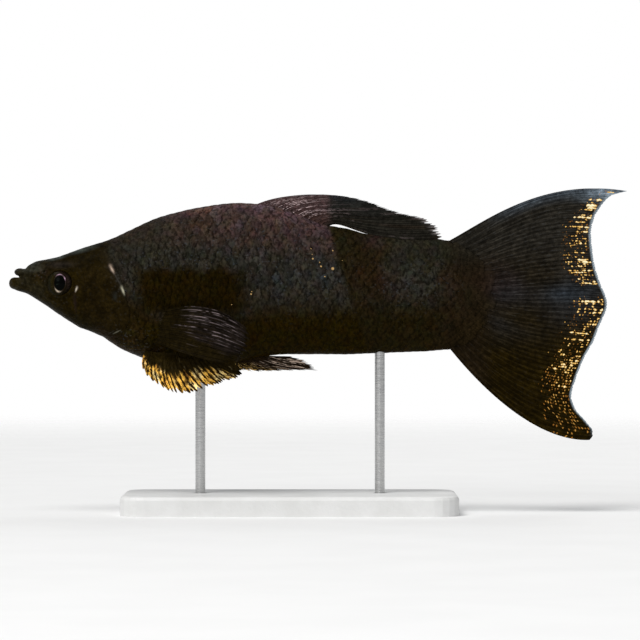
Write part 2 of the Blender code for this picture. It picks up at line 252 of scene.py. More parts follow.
class Girth:
    """The skin laid flat: u along the body, v 0 on the back to 1 on the belly,
    even along each ring, with both past the middle lines a little."""

    def __init__(self, low=5.0, high=77.5, rows=726, cols=321):
        self.u = np.linspace(low, high, rows)
        turn = np.radians(np.linspace(90 + 50, -90 - 50, 1401))
        self.v = np.linspace(-0.25, 1.25, cols)
        self.p = np.zeros((rows, cols, 3))
        self.half = np.zeros(rows)
        mid = np.searchsorted(-turn, -math.pi / 2), np.searchsorted(-turn, math.pi / 2)
        for i, u in enumerate(self.u):
            points = ring(u, turn)
            run = np.concatenate([[0], np.cumsum(np.linalg.norm(np.diff(points, axis=0), axis=1))])
            top, end = run[mid[0]], run[mid[1]]
            share = (run - top) / (end - top)
            self.half[i] = end - top
            for k in range(3):
                self.p[i, :, k] = np.interp(self.v, share, points[:, k])
        du = np.gradient(self.p, axis=0)
        dv = np.gradient(self.p, axis=1)
        self.n = unit(np.cross(dv, du))
        outward = self.p[:, cols // 2, 1] < 0
        if np.mean(self.n[:, cols // 2, 1] * np.where(outward, -1, 1)) < 0:
            self.n = -self.n

    def read(self, table, u, v):
        fu = np.clip((u - self.u[0]) / (self.u[1] - self.u[0]), 0, len(self.u) - 1.001)
        fv = np.clip((v - self.v[0]) / (self.v[1] - self.v[0]), 0, len(self.v) - 1.001)
        i, j = fu.astype(int), fv.astype(int)
        a, b = (fu - i)[..., None], (fv - j)[..., None]
        return ((table[i, j] * (1 - b) + table[i, j + 1] * b) * (1 - a)
                + (table[i + 1, j] * (1 - b) + table[i + 1, j + 1] * b) * a)

    def at(self, u, v, lift):
        """Points lift millimetres outside the body, left side."""
        return self.read(self.p, u, v) + unit(self.read(self.n, u, v)) * np.asarray(lift)[..., None]

    def half_girth(self, u):
        return np.interp(u, self.u, self.half)


GIRTH = Girth()


# ================================================================== markings
def tone(p):
    """The fish's colours by place, some painted light and shade among them: linear red, green, blue, and how strongly
    pale flecks and painted glints show. Smooth zones, the same for skin and scales."""
    x, z = p[..., 0], p[..., 2]
    level = level_at(x, z)
    blotch = waves(3, x / 9, z / 7, octaves=7)
    patch = waves(5, x / 4.2, z / 3.4, octaves=8)
    base = np.array([0.0102, 0.0076, 0.0040])
    brown = np.array([0.0082, 0.0048, 0.0001])
    plum = np.array([0.0262, 0.0146, 0.0126])
    rose = np.array([0.0350, 0.0178, 0.0172])
    slate = np.array([0.0126, 0.0113, 0.0095])
    steel = np.array([0.0124, 0.0133, 0.0142])
    moss = np.array([0.0082, 0.0058, 0.0020])
    head = np.array([0.0104, 0.0064, 0.0008])
    colour = np.ones(x.shape + (3,)) * base

    def lay(over, share):
        nonlocal colour
        share = np.clip(share, 0, 1)[..., None]
        colour = colour * (1 - share) + over * share

    # upper back, warm plum from the nape to behind the fin's start
    top = ease(0.22, 0.62, level + 0.07 * blotch)
    lay(slate, 0.8 * ease(0.1, 0.5, level) * ease(15, 19, x) * (1 - ease(23, 30, x)))
    lay(plum, 0.95 * top * ease(21, 31, x) * (0.62 + 0.38 * ease(31, 37, x)) * (1 - ease(54.4, 55.4, x + 0.318 * z)))
    lay(rose, 0.55 * top * bump(x, 38, 6.5) * ease(-0.3, 0.5, patch))
    lay(np.array([0.0440, 0.0250, 0.0250]), (0.65 * ease(0.82, 0.97, level + 0.04 * blotch) * ease(24, 30, x)
        + 0.40 * ease(0.62, 0.88, level + 0.05 * blotch) * ease(34, 40, x)) * (1 - ease(54.4, 55.4, x + 0.318 * z)))
    lay(np.array([0.0230, 0.0130, 0.0080]), 0.5 * ease(0.70, 0.95, level) * bump(x, 21.0, 3.0))
    # a cool slate band along the side
    side = bump(level, 0.13 + 0.05 * ease(20, 40, x), 0.42)
    lay(slate, 0.95 * side * ease(15, 21, x) * (1 - 0.85 * ease(54.5, 55.3, x + 0.318 * z) * (1 - ease(57.5, 61.5, x))))
    lay(steel, 0.7 * side * ease(0.0, 0.9, patch) * ease(15, 21, x))
    # the darkest places: the lower side, and a bar over the breast fin
    lay(brown, 0.96 * ease(-0.20, -0.50, level + 0.05 * blotch))
    lay(np.array([0.0080, 0.0076, 0.0058]), 0.75 * ease(15.5, 19.0, x) * (1 - ease(36, 40, x)) * bump(z, 4.7, 2.2))
    bar = ease(18.6, 22.8, x + 0.6 * patch) * (1 - ease(36.0, 41.2, x + 0.4 * patch)) * ease(4.4, 2.4, z + 0.50 * patch) * ease(-5.0, -2.6, z)
    lay(np.array([0.0064, 0.0034, 0.0]), 0.96 * bar)
    # the stalk is a step browner than the trunk, along a leaning line
    lay(moss, 0.75 * ease(54.5, 55.3, x + 0.318 * z) * (1 - 0.70 * ease(58, 62, x) * side))
    lay(np.array([0.0130, 0.0056, 0.0028]), 0.6 * bump(x, 58.8, 3.2) * bump(z, 2.0, 3.2))
    lay(np.array([0.0240, 0.0135, 0.0135]), 0.55 * bump(x, 59.2, 1.9) * bump(z, 8.0, 1.3))
    lay(np.array([0.0125, 0.0122, 0.0088]), 0.80 * ease(59.5, 63.0, x) * (1 - ease(69.5, 72.5, x)) * ease(0.20, 0.50, level))
    lay(np.array([0.0098, 0.0058, 0.0028]), 0.75 * ease(67.5, 71.0, x) * ease(5.2, 2.6, z))
    lay(np.array([0.0125, 0.0056, 0.0040]), 0.45 * bump(x, 73.5, 3.2) * bump(z, 1.0, 3.6))
    # a warm painted highlight line along the belly behind the fins
    lay(np.array([0.030, 0.0175, 0.0130]), 0.6 * ease(-0.955, -0.985, level) * ease(45, 48, x) * ease(-0.2, 0.5, blotch))
    # head
    lay(head, 0.92 * (1 - ease(15.1, 17.3, x - 0.55 * (3 - z))))
    lay(np.array([0.0092, 0.0056, 0.0016]), 0.75 * ease(10.8, 13.0, x) * (1 - ease(16.0, 18.0, x - 0.55 * (3 - z))))
    lay(np.array([0.0112, 0.0105, 0.0066]), 0.70 * ease(-0.9, 0.6, patch) * (1 - ease(5.0, 9.5, x)))
    # the crown, dark below a thin cool painted sheen along its top edge
    lay(np.array([0.0040, 0.0024, 0.0002]), 0.85 * ease(0.10, 0.50, level) * ease(4.5, 7.5, x) * (1 - ease(14.5, 17.5, x)))
    lay(np.array([0.0330, 0.0390, 0.0340]), 0.95 * ease(0.76, 0.93, level) * ease(3.2, 4.5, x) * (1 - ease(12.5, 15.5, x)) * ease(-1.0, 0.4, patch))
    lay(np.array([0.0230, 0.0245, 0.0185]), 0.70 * (1 - ease(5.0, 7.0, x)) * ease(2.3, 3.3, z) * ease(-1.2, 0.2, patch))
    # the chin is darker underneath, a painted shade, and a little green; the breast reddish at its lower edge
    lay(np.array([0.0030, 0.0026, 0.0004]), 0.60 * ease(-0.62, -0.88, level) * (1 - ease(13, 17, x)))
    lay(np.array([0.0034, 0.0020, 0.0003]), 0.65 * ease(-0.56, -0.82, level) * ease(13, 17, x) * (1 - ease(24, 30, x)))
    lay(np.array([0.0120, 0.0060, 0.0020]), 0.70 * ease(-0.74, -0.93, level) * ease(13, 17, x) * (1 - ease(23, 27, x)) * ease(-0.9, 0.2, patch))
    snout = waves(8, x / 0.62, z / 0.55, octaves=9)
    colour = colour * (1 + 0.38 * snout * (1 - ease(6.8, 8.8, x)) + 0.14 * waves(9, x / 0.9, z / 0.8, octaves=9) * (1 - ease(16, 18, x)))[..., None]
    lay(np.array([0.0200, 0.0100, 0.0075]), 0.55 * bump(x, 5.9, 1.2) * bump(z, 2.6, 0.9) * ease(-0.5, 0.5, snout))
    lay(np.array([0.0155, 0.0125, 0.0130]), 0.50 * bump(x, 8.6, 2.2) * bump(z, 4.0, 0.55))
    # the last scales take the tail's own colours
    share = ease(69.5, 74.5, x)[..., None]
    colour = colour * (1 - share) + tail_ground(x, z) * share
    colour = colour * 1.05 + np.array([0.0011, 0.0008, 0.0])
    fleck_and_glint = 0.08 + 0.92 * side * ease(15, 20, x) * (1 - 0.65 * ease(54.5, 55.3, x + 0.318 * z) * (1 - ease(58, 62, x)))
    fleck_and_glint += 0.55 * top * ease(22, 30, x) * (1 - ease(50, 54, x))
    fleck_and_glint += 1.0 * ease(-0.45, -0.72, level) * bump(x, 20.5, 3.6) * ease(16.5, 18.5, x)
    fleck_and_glint += 0.85 * (1 - ease(4.6, 7.0, x)) * ease(0.6, 1.4, z) + 0.25 * bump(x, 8.0, 3.0) * bump(z, -1.8, 1.0)
    # a row of painted highlights along the top edge of the back
    fleck_and_glint += 0.50 * ease(0.88, 0.97, level) * ease(23, 27, x) * (1 - ease(40, 44, x))
    fleck_and_glint *= 1 - 0.92 * bar
    fleck_and_glint *= 1 - 0.5 * ease(68, 71, x) * ease(5.2, 2.6, z)
    fleck_and_glint *= 1 - ease(72, 75.5, x)
    return np.concatenate([colour, np.clip(fleck_and_glint, 0, 1.6)[..., None]], -1)


# a few gold specks on the left flank: place and radius
GOLD_SPECKS = ((48.9, 6.6, 0.08), (49.1, 5.7, 0.06), (49.2, 5.0, 0.11), (50.3, 4.4, 0.09), (50.5, 3.75, 0.11),
               (51.1, 2.1, 0.09), (52.4, 3.4, 0.20), (52.4, 6.3, 0.07), (39.3, -0.7, 0.12), (39.4, -0.3, 0.07),
               (36.2, -2.4, 0.07), (53.9, 4.7, 0.06))


# ================================================================= materials
class Look:
    """A node material, built with short calls."""

    def __init__(self, name):
        self.material = bpy.data.materials.new(name)
        self.material.use_nodes = True
        self.tree = self.material.node_tree
        self.tree.nodes.clear()
        self.out = self.tree.nodes.new("ShaderNodeOutputMaterial")
        self.shader = self.tree.nodes.new("ShaderNodeBsdfPrincipled")
        self.tree.links.new(self.shader.outputs[0], self.out.inputs["Surface"])

    def plug(self, socket, value):
        if isinstance(value, bpy.types.NodeSocket):
            self.tree.links.new(value, socket)
        elif isinstance(value, (tuple, list)) and len(value) == 3 and socket.type == "RGBA":
            socket.default_value = (*value, 1)
        else:
            socket.default_value = value

    def node(self, kind, inputs=(), out=0, **props):
        n = self.tree.nodes.new("ShaderNode" + kind)
        for key, value in props.items():
            setattr(n, key, value)
        for key, value in dict(inputs).items():
            self.plug(n.inputs[key], value)
        return n.outputs[out]

    def set(self, **inputs):
        for key, value in inputs.items():
            self.plug(self.shader.inputs[key.replace("_", " ")], value)

    def math(self, operation, a, b=0.0, clamp=False):
        return self.node("Math", {0: a, 1: b}, operation=operation, use_clamp=clamp)

    def mix(self, share, a, b, blend="MIX"):
        n = self.tree.nodes.new("ShaderNodeMix")
        n.data_type, n.blend_type = "RGBA", blend
        self.plug(n.inputs[0], share)
        self.plug(n.inputs[6], a)
        self.plug(n.inputs[7], b)
        return n.outputs[2]

    def ramp(self, value, low, high, to_low=0.0, to_high=1.0):
        return self.node("MapRange", {"Value": value, "From Min": low, "From Max": high,
                                      "To Min": to_low, "To Max": to_high}, interpolation_type="SMOOTHSTEP")

    def attribute(self, name, out="Fac"):
        n = self.tree.nodes.new("ShaderNodeAttribute")
        n.attribute_name = name
        return n.outputs[out]

    def place(self, scale=(1, 1, 1), turn=(0, 0, 0)):
        spot = self.node("TexCoord", out="Object")
        return self.node("Mapping", {"Vector": spot, "Scale": scale, "Rotation": turn})

    def uv(self, name, scale=(1, 1, 1)):
        spot = self.node("UVMap", uv_map=name)
        return self.node("Mapping", {"Vector": spot, "Scale": scale})

    def noise(self, vector, scale, detail=2.0, rough=0.5, out=0):
        return self.node("TexNoise", {"Vector": vector, "Scale": scale, "Detail": detail, "Roughness": rough}, out=out)

    def bumps(self, *heights):
        """Each height is (value, strength, distance in metres)."""
        normal = None
        for value, strength, distance in heights:
            n = self.tree.nodes.new("ShaderNodeBump")
            n.inputs["Strength"].default_value = strength
            n.inputs["Distance"].default_value = distance
            self.plug(n.inputs["Height"], value)
            if normal is not None:
                self.plug(n.inputs["Normal"], normal)
            normal = n.outputs[0]
        self.set(Normal=normal)


def skin_look():
    m = Look("molly_skin")
    place = m.place()
    colour, fleck_and_glint = m.attribute("Tone", "Color"), m.attribute("Tone", "Alpha")
    cloud = m.noise(place, 700, 3, 0.55)
    grain = m.noise(place, 5200, 2, 0.6)
    fine = m.noise(place, 2400, 3, 0.6)
    shade = m.mix(1.0, colour, m.ramp(cloud, 0.28, 0.75, 0.62, 1.45), "MULTIPLY")
    shade = m.mix(1.0, shade, m.ramp(fine, 0.30, 0.72, 0.70, 1.40), "MULTIPLY")
    # pale dots where the flecks show: pores about the mouth, painted glints elsewhere
    cells = m.node("TexVoronoi", {"Vector": place, "Scale": 1500, "Randomness": 0.85}, feature="F1")
    dots = m.ramp(cells, 0.42, 0.10)
    shade = m.mix(m.math("MULTIPLY", dots, m.math("ADD", m.math("MULTIPLY", fleck_and_glint, 0.5), 0.02)), shade,
                  (0.048, 0.046, 0.040))
    shade = m.mix(m.attribute("Mark", "Alpha"), shade, m.attribute("Mark", "Color"))
    m.set(Base_Color=shade, Specular_IOR_Level=0.013, Specular_Tint=(1.0, 0.82, 0.50))
    m.set(Roughness=m.ramp(grain, 0.2, 0.8, 0.30, 0.48))
    pores = m.node("TexVoronoi", {"Vector": place, "Scale": 2100, "Randomness": 0.9}, feature="F1")
    m.bumps((grain, 0.30, 0.00005), (m.ramp(pores, 0.02, 0.20), 0.35, 0.00005), (cloud, 0.25, 0.0003))
    return m.material


def scale_look():
    m = Look("molly_scales")
    place = m.place()
    colour, fleck_and_glint = m.attribute("Tone", "Color"), m.attribute("Tone", "Alpha")
    uv = m.node("UVMap", uv_map="Scale")
    # fine growth rings and spokes of each scale
    centred = m.node("Mapping", {"Vector": uv, "Location": (-0.5, -0.30, 0)})
    rings = m.node("TexWave", {"Vector": centred, "Scale": 7.5, "Distortion": 0.6, "Detail": 1.0, "Detail Scale": 2.0},
                   wave_type="RINGS", rings_direction="SPHERICAL", out=1)
    # each scale's shown part gets a painted highlight in its middle and painted shade along its rim
    middle = m.node("Mapping", {"Vector": uv, "Scale": (2.25, 2.7, 0), "Location": (-1.125, -2.0, 0)})
    off = m.node("VectorMath", {0: middle}, operation="LENGTH", out="Value")
    grain = m.noise(place, 5600, 2, 0.6)
    cloud = m.noise(place, 560, 3, 0.55)
    mottle = m.noise(m.place((1.15, 1, 0.78)), 2050, 2.0, 0.62)
    dash = m.noise(m.place((0.8, 1, 1)), 2700, 1.0, 0.5)
    bead_highlight = m.ramp(m.math("ADD", off, m.ramp(mottle, 0.3, 0.7, 0.40, -0.40)), 1.00, 0.15)
    shade = m.mix(1.0, colour, m.ramp(cloud, 0.3, 0.75, 0.92, 1.08), "MULTIPLY")
    shade = m.mix(1.0, shade, m.attribute("Vary", "Color"), "MULTIPLY")
    shade = m.mix(1.0, shade, m.ramp(mottle, 0.30, 0.70, 0.56, 1.44), "MULTIPLY")
    shade = m.mix(1.0, shade, m.ramp(off, 0.5, 1.35, 1.04, 0.86), "MULTIPLY")
    tint = m.node("TexNoise", {"Vector": place, "Scale": 640, "Detail": 2.0, "Roughness": 0.55}, out=1)
    tint = m.node("VectorMath", {0: tint, 1: (0.58, 0.50, 0.74), 2: (0.71, 0.75, 0.63)}, operation="MULTIPLY_ADD", out=0)
    shade = m.mix(1.0, shade, tint, "MULTIPLY")
    # the painted highlight in each scale's middle, strongest where the pale flecks show
    painted_highlight = m.math("MULTIPLY", bead_highlight, m.attribute("Vary", "Alpha"))
    pale = m.math("MULTIPLY", painted_highlight, m.math("ADD", m.math("MULTIPLY", fleck_and_glint, 0.95), 0.10))
    lift = m.mix(1.0, shade, (2.6, 2.75, 2.95), "MULTIPLY")
    shade = m.mix(m.math("MULTIPLY", pale, 0.50, clamp=True), shade, lift)
    # painted glints: short pale dashes, bluish or warm, where the flecks show
    glint_dashes = m.math("MULTIPLY", m.ramp(dash, 0.60, 0.72), fleck_and_glint)
    shade = m.mix(m.math("MULTIPLY", glint_dashes, 0.42), shade, m.mix(m.ramp(cloud, 0.42, 0.58), (0.060, 0.058, 0.050), (0.050, 0.058, 0.070)))
    # the gold specks
    spot = m.node("TexCoord", out="Object")
    axes = m.tree.nodes.new("ShaderNodeSeparateXYZ")
    m.tree.links.new(spot, axes.inputs[0])
    flat = m.node("CombineXYZ", {"X": axes.outputs[0], "Z": axes.outputs[2]})
    ragged = m.ramp(grain, 0.2, 0.8, -0.00005, 0.00005)
    lit = None
    for x, z, size in GOLD_SPECKS:
        far = m.node("VectorMath", {0: flat, 1: ((x - 50) * 0.001, 0.0, (z + AXIS_HEIGHT) * 0.001)}, operation="DISTANCE", out="Value")
        near = m.ramp(m.math("ADD", far, ragged), size * 0.0014, size * 0.0007)
        lit = near if lit is None else m.math("MAXIMUM", lit, near)
    lit = m.math("MULTIPLY", lit, m.math("LESS_THAN", axes.outputs[1], 0.0))
    shade = m.mix(m.math("MULTIPLY", lit, 0.9), shade, (0.60, 0.38, 0.15))
    # over the tail's root the scales carry the streaks of its rays
    streak = m.noise(m.uv("Fan", (16, 130, 1)), 1.0, 2.5, 0.6)
    drift = m.noise(place, 420, 3, 0.6)
    plain = m.mix(1.0, colour, m.ramp(drift, 0.28, 0.75, 0.70, 1.42), "MULTIPLY")
    plain = m.mix(1.0, plain, m.ramp(streak, 0.28, 0.74, 0.62, 1.40), "MULTIPLY")
    plain = m.mix(1.0, plain, m.ramp(m.noise(place, 1500, 2, 0.62), 0.30, 0.70, 0.70, 1.32), "MULTIPLY")
    shade = m.mix(m.attribute("Plain"), shade, plain)
    m.set(Base_Color=shade, Specular_IOR_Level=0.015, Specular_Tint=(1.0, 0.80, 0.45))
    m.set(Roughness=m.ramp(dash, 0.3, 0.75, 0.46, 0.34))
    m.bumps((rings, 0.22, 0.00003), (grain, 0.30, 0.00004))
    return m.material


def fin_look(name, gold=False, streaks=0.0, glint_colour=(0.15, 0.125, 0.145), warm=(1.0, 0.84, 0.60), lines=False,
             soil=False, gloss=0.018, dash=7.0, picked=(0.50, 0.85), every=1.0):
    """A rayed web. Colours of web and ray come with the mesh."""
    m = Look(name)
    if glint_colour is None:
        glint_colour = m.attribute("Edge", "Color")
    place = m.place()
    rib, band, pale = m.attribute("Ray"), m.attribute("Band"), m.attribute("Pale")
    cloud = m.noise(place, 420, 3, 0.6)
    grain = m.noise(place, 5200, 2, 0.6)
    # broken, long blotches along the rays
    blot = m.noise(m.uv("Fin", (16, 130, 1)), 1.0, 2.5, 0.6)
    bone = rib
    if soil:
        # ragged dark rays, here and there run together
        stain = m.noise(m.uv("Fin", (8, 50, 1)), 1.0, 3, 0.65)
        bone = m.math("ADD", rib, m.ramp(stain, 0.34, 0.66, -0.55, 0.75))
    shade = m.mix(m.ramp(bone, 0.10, 0.62), m.attribute("Web", "Color"), m.attribute("Bone", "Color"))
    shade = m.mix(1.0, shade, m.ramp(cloud, 0.28, 0.75, 0.66, 1.38), "MULTIPLY")
    shade = m.mix(1.0, shade, m.ramp(blot, 0.28, 0.74, 0.62, 1.40), "MULTIPLY")
    shade = m.mix(1.0, shade, m.ramp(grain, 0.25, 0.8, 0.8, 1.22), "MULTIPLY")
    mottle = m.noise(place, 1500, 2, 0.62)
    shade = m.mix(1.0, shade, m.ramp(mottle, 0.30, 0.70, 0.70, 1.32), "MULTIPLY")
    if streaks:
        # pale broken glints that run along the rays
        glint = m.noise(m.uv("Fin", (22, 170, 1)), 1.0, 2, 0.6)
        lit = m.math("MULTIPLY", m.ramp(glint, 0.52, 0.66), m.ramp(rib, 0.25, 0.9))
        lit = m.math("MULTIPLY", lit, m.attribute("Glint"))
        shade = m.mix(m.math("MULTIPLY", lit, streaks), shade, glint_colour)
    if lines:
        # some of the ray branches shine, each in a few long dashes
        lane = m.math("ADD", m.attribute("Lane"), m.ramp(m.noise(place, 260, 1, 0.5), 0.2, 0.8, -0.35, 0.35))
        lane = m.math("MULTIPLY", lane, every)
        row = m.math("FLOOR", lane)
        pick = m.node("TexWhiteNoise", {"W": row}, noise_dimensions="1D", out=0)
        parts = m.tree.nodes.new("ShaderNodeSeparateXYZ")
        m.tree.links.new(m.node("UVMap", uv_map="Fin"), parts.inputs[0])
        cells = m.node("CombineXYZ", {"X": m.math("MULTIPLY", parts.outputs[0], dash), "Y": m.math("MULTIPLY", row, 3.7)})
        dashes = m.node("TexNoise", {"Vector": cells, "Scale": 1.0, "Detail": 2.0, "Roughness": 0.6}, out=0)
        across = m.math("ABSOLUTE", m.math("SUBTRACT", m.math("FRACT", lane), 0.5))
        lit = m.math("MULTIPLY", m.ramp(pick, *picked), m.ramp(dashes, 0.42, 0.62))
        lit = m.math("MULTIPLY", lit, m.ramp(across, 0.42, 0.12))
        lit = m.math("MULTIPLY", lit, m.attribute("Glint"))
        shade = m.mix(m.math("MULTIPLY", lit, lines), shade, glint_colour)
    if gold:
        # broken gold streaks, one row to each ray branch, palest in their middle
        parts = m.tree.nodes.new("ShaderNodeSeparateXYZ")
        m.tree.links.new(m.node("UVMap", uv_map="Fin"), parts.inputs[0])
        wob = m.noise(place, 2600, 1, 0.5)
        lane = m.math("ADD", m.attribute("Lane"), m.ramp(wob, 0.2, 0.8, -0.20, 0.20))
        row = m.math("FLOOR", lane)
        cell = m.node("CombineXYZ", {"X": m.math("MULTIPLY", parts.outputs[0], 48.0), "Y": m.math("MULTIPLY", row, 3.7)})
        dashes = m.node("TexNoise", {"Vector": cell, "Scale": 1.0, "Detail": 1.5, "Roughness": 0.55}, out=0)
        luck = m.node("TexWhiteNoise", {"W": row}, noise_dimensions="1D", out=0)
        across = m.math("ABSOLUTE", m.math("SUBTRACT", m.math("FRACT", lane), 0.5))
        patches = m.noise(m.uv("Fin", (5, 44, 1)), 1.0, 2, 0.6)
        chance = m.math("MULTIPLY", band, m.ramp(patches, 0.34, 0.64, 0.30, 1.35))
        chance = m.math("MULTIPLY", chance, m.ramp(luck, 0.0, 1.0, 0.70, 1.20))
        over = m.math("SUBTRACT", dashes, m.math("SUBTRACT", 0.735, m.math("MULTIPLY", chance, 0.302)))
        over = m.math("SUBTRACT", over, m.ramp(across, 0.14, 0.50, 0.0, 0.20))
        lit = m.math("MULTIPLY", m.ramp(over, 0.0, 0.03), m.ramp(band, 0.0, 0.06))
        # rows of small round dots
        run = m.math("ADD", m.math("MULTIPLY", parts.outputs[0], 52.0), m.math("MULTIPLY", luck, 5.0))
        ends = m.math("ABSOLUTE", m.math("SUBTRACT", m.math("FRACT", run), 0.5))
        spot = m.node("CombineXYZ", {"X": m.math("FLOOR", run), "Y": row})
        odds = m.node("TexWhiteNoise", {"Vector": spot}, noise_dimensions="2D", out=0)
        dots = m.math("MULTIPLY", m.ramp(across, 0.30, 0.16), m.ramp(ends, 0.30, 0.14))
        dots = m.math("MULTIPLY", dots, m.ramp(m.math("SUBTRACT", m.attribute("Dots"), odds), 0.0, 0.12))
        # and finer gold dust between them
        mote = m.node("TexVoronoi", {"Vector": place, "Scale": 2300, "Randomness": 0.9}, feature="F1")
        some = m.node("TexNoise", {"Vector": place, "Scale": 1900, "Detail": 1.0, "Roughness": 0.5}, out=0)
        dust = m.math("MULTIPLY", m.ramp(mote, 0.34, 0.20), m.ramp(some, 0.50, 0.60))
        dust = m.math("MULTIPLY", dust, m.ramp(band, 0.05, 0.35))
        lit = m.math("MAXIMUM", lit, m.math("MULTIPLY", dust, 0.75))
        lit = m.math("MAXIMUM", lit, dots)
        over = m.math("MAXIMUM", over, m.math("MULTIPLY", m.math("MULTIPLY", dots, odds), 0.09))
        yellow = m.mix(m.ramp(over, 0.0, 0.07), (0.32, 0.13, 0.020), (0.95, 0.58, 0.15))
        yellow = m.mix(m.ramp(over, 0.08, 0.17), yellow, (1.0, 0.92, 0.60))
        shade = m.mix(lit, shade, yellow)
    shade = m.mix(pale, shade, m.attribute("Edge", "Color"))
    m.set(Base_Color=shade, Specular_IOR_Level=gloss, Specular_Tint=warm)
    m.set(Roughness=m.ramp(grain, 0.2, 0.8, 0.34, 0.52))
    joints = m.node("TexWave", {"Vector": m.uv("Fin", (1, 1, 1)), "Scale": 22.0, "Distortion": 0.5},
                    wave_type="BANDS", bands_direction="X", out=1)
    m.bumps((m.math("MULTIPLY", joints, rib), 0.35, 0.00005), (grain, 0.30, 0.00004))
    return m.material


# ============================================================== head and skin
def closed_loft(rings):
    """Points and faces of a closed body through rings of equal count."""
    rings = np.asarray(rings, float)
    rows, cols = rings.shape[:2]
    points = rings.reshape(-1, 3)
    quads = grid_faces(rows, cols, wrap=True)
    ends = np.stack([rings[0].mean(0), rings[-1].mean(0)])
    first, last = len(points), len(points) + 1
    c = np.arange(cols)
    d = (c + 1) % cols
    tris = np.concatenate([np.stack([d, c, np.full(cols, first)], -1),
                           np.stack([c + (rows - 1) * cols, d + (rows - 1) * cols, np.full(cols, last)], -1)])
    return np.concatenate([points, ends]), quads, tris


def tube(path, across, up, sides=28):
    """A closed tube along a path, an ellipse of the given radii."""
    path = np.asarray(path, float)
    tangent = unit(np.gradient(path, axis=0))
    sideways = unit(np.cross(tangent, np.array([0.0, 0.0, 1.0])))
    rise = unit(np.cross(sideways, tangent))
    turn = np.linspace(0, 2 * math.pi, sides, endpoint=False)
    rings = (path[:, None] + sideways[:, None] * (np.asarray(across)[:, None, None] * np.cos(turn)[None, :, None])
             + rise[:, None] * (np.asarray(up)[:, None, None] * np.sin(turn)[None, :, None]))
    return closed_loft(rings)


def lip(front, corner, reach, size_front, size_corner, steps=41):
    """A lip's roll, from one mouth corner round the front to the other."""
    a = np.linspace(-90, 90, steps)
    c, s = np.cos(np.radians(a)), np.sin(np.radians(a))
    bend = c ** 0.85
    x = corner[0] + (front[0] - corner[0]) * bend
    z = corner[1] + (front[1] - corner[1]) * c ** 0.6
    y = reach * s
    across = size_corner[0] + (size_front[0] - size_corner[0]) * c
    up = size_corner[1] + (size_front[1] - size_corner[1]) * c
    return tube(np.stack([x, y, z], -1), across, up)


def ball(centre, radii, rows=24, cols=32):
    a = np.linspace(0, math.pi, rows + 2)[1:-1]
    b = np.linspace(0, 2 * math.pi, cols, endpoint=False)
    rings = np.stack([np.broadcast_to(np.cos(a)[:, None], (rows, cols)),
                      np.sin(a)[:, None] * np.cos(b)[None], np.sin(a)[:, None] * np.sin(b)[None]], -1)
    rings = np.asarray(centre) + rings * np.asarray(radii)
    return closed_loft(rings)


def head_forms():
    """The closed forms that merge into the head, all in millimetres."""
    turn = np.linspace(0, 2 * math.pi, 120, endpoint=False)
    rings = []
    mid = np.array([0.0, 0.0, 1.7])
    for x, grow in ((2.70, 0.50), (2.74, 0.70), (2.82, 0.84), (2.95, 0.93), (3.15, 0.975), (3.4, 0.995)):
        r = body(x, turn)
        rings.append(np.stack([r[:, 0], r[:, 1] * grow, mid[2] + (r[:, 2] - mid[2]) * grow], -1))
    for x in np.arange(3.7, 24.0, 0.35):
        rings.append(body(x, turn))
    forms = [closed_loft(rings)]
    # lips: the lower one reaches further forward
    forms.append(lip((1.84, 2.90), (3.1, 2.40), 1.74, (0.96, 0.66), (0.46, 0.50)))
    forms.append(lip((0.942, 1.08), (2.9, 1.60), 1.94, (0.92, 1.00), (0.62, 0.62)))
    # the lower jaw behind its lip
    jaw = []
    for x, top, low, half in ((0.80, 1.75, 0.20, 0.9), (1.05, 1.80, -0.02, 1.35), (1.5, 1.85, -0.20, 1.72),
                              (2.2, 1.95, -0.36, 2.02), (2.9, 2.05, -0.58, 2.22), (3.6, 2.2, -0.90, 2.45), (4.3, 2.2, -1.27, 2.6)):
        c, s = np.cos(turn), np.sin(turn)
        jaw.append(np.stack([np.full(len(turn), x), -half * c,
                             (top + low) / 2 + (top - low) / 2 * np.sign(s) * np.abs(s) ** 0.9], -1))
    forms.append(closed_loft(jaw))
    # the flesh between the upper lip and the brow
    forms.append(ball((2.60, 0, 2.90), (0.80, 1.45, 0.56)))
    # what closes the mouth behind the lips, and the fold at each corner
    forms.append(ball((2.75, 0, 2.15), (1.05, 1.75, 0.75)))
    for side in (-1, 1):
        forms.append(ball((3.05, side * 1.95, 2.0), (0.62, 0.42, 0.62)))
    return forms


def remeshed(forms, voxel):
    """One closed mesh round overlapping forms, as points and quads."""
    points, quads, tris, base = [], [], [], 0
    for p, q, t in forms:
        points.append(p)
        quads.append(q + base)
        tris.append(t + base)
        base += len(p)
    mesh = bpy.data.meshes.new("forms")
    points, quads, tris = np.concatenate(points), np.concatenate(quads), np.concatenate(tris)
    mesh.from_pydata(points.tolist(), [], quads.tolist() + tris.tolist())
    obj = bpy.data.objects.new("forms", mesh)
    bpy.context.scene.collection.objects.link(obj)
    bm = bmesh.new()
    bm.from_mesh(mesh)
    bmesh.ops.recalc_face_normals(bm, faces=bm.faces)
    bm.to_mesh(mesh)
    bm.free()
    grid = obj.modifiers.new("grid", "REMESH")
    grid.mode, grid.voxel_size, grid.adaptivity = "VOXEL", voxel, 0.0
    made = bpy.data.meshes.new_from_object(obj.evaluated_get(bpy.context.evaluated_depsgraph_get()))
    bpy.data.objects.remove(obj, do_unlink=True)
    return made


def relax(points, edges, rounds, share=0.5, weight=None):
    """Evens out a mesh by moving each point towards its neighbours."""
    count = np.bincount(edges.ravel(), minlength=len(points)).astype(float)
    for _ in range(rounds):
        total = np.zeros_like(points)
        for k in range(3):
            total[:, k] = (np.bincount(edges[:, 0], points[edges[:, 1], k], len(points))
                           + np.bincount(edges[:, 1], points[edges[:, 0], k], len(points)))
        move = (total / np.maximum(count, 1)[:, None] - points) * share
        points = points + (move if weight is None else move * weight[:, None])
    return points


def edges_of(mesh):
    e = np.zeros(len(mesh.edges) * 2, np.int32)
    mesh.edges.foreach_get("vertices", e)
    return e.reshape(-1, 2)


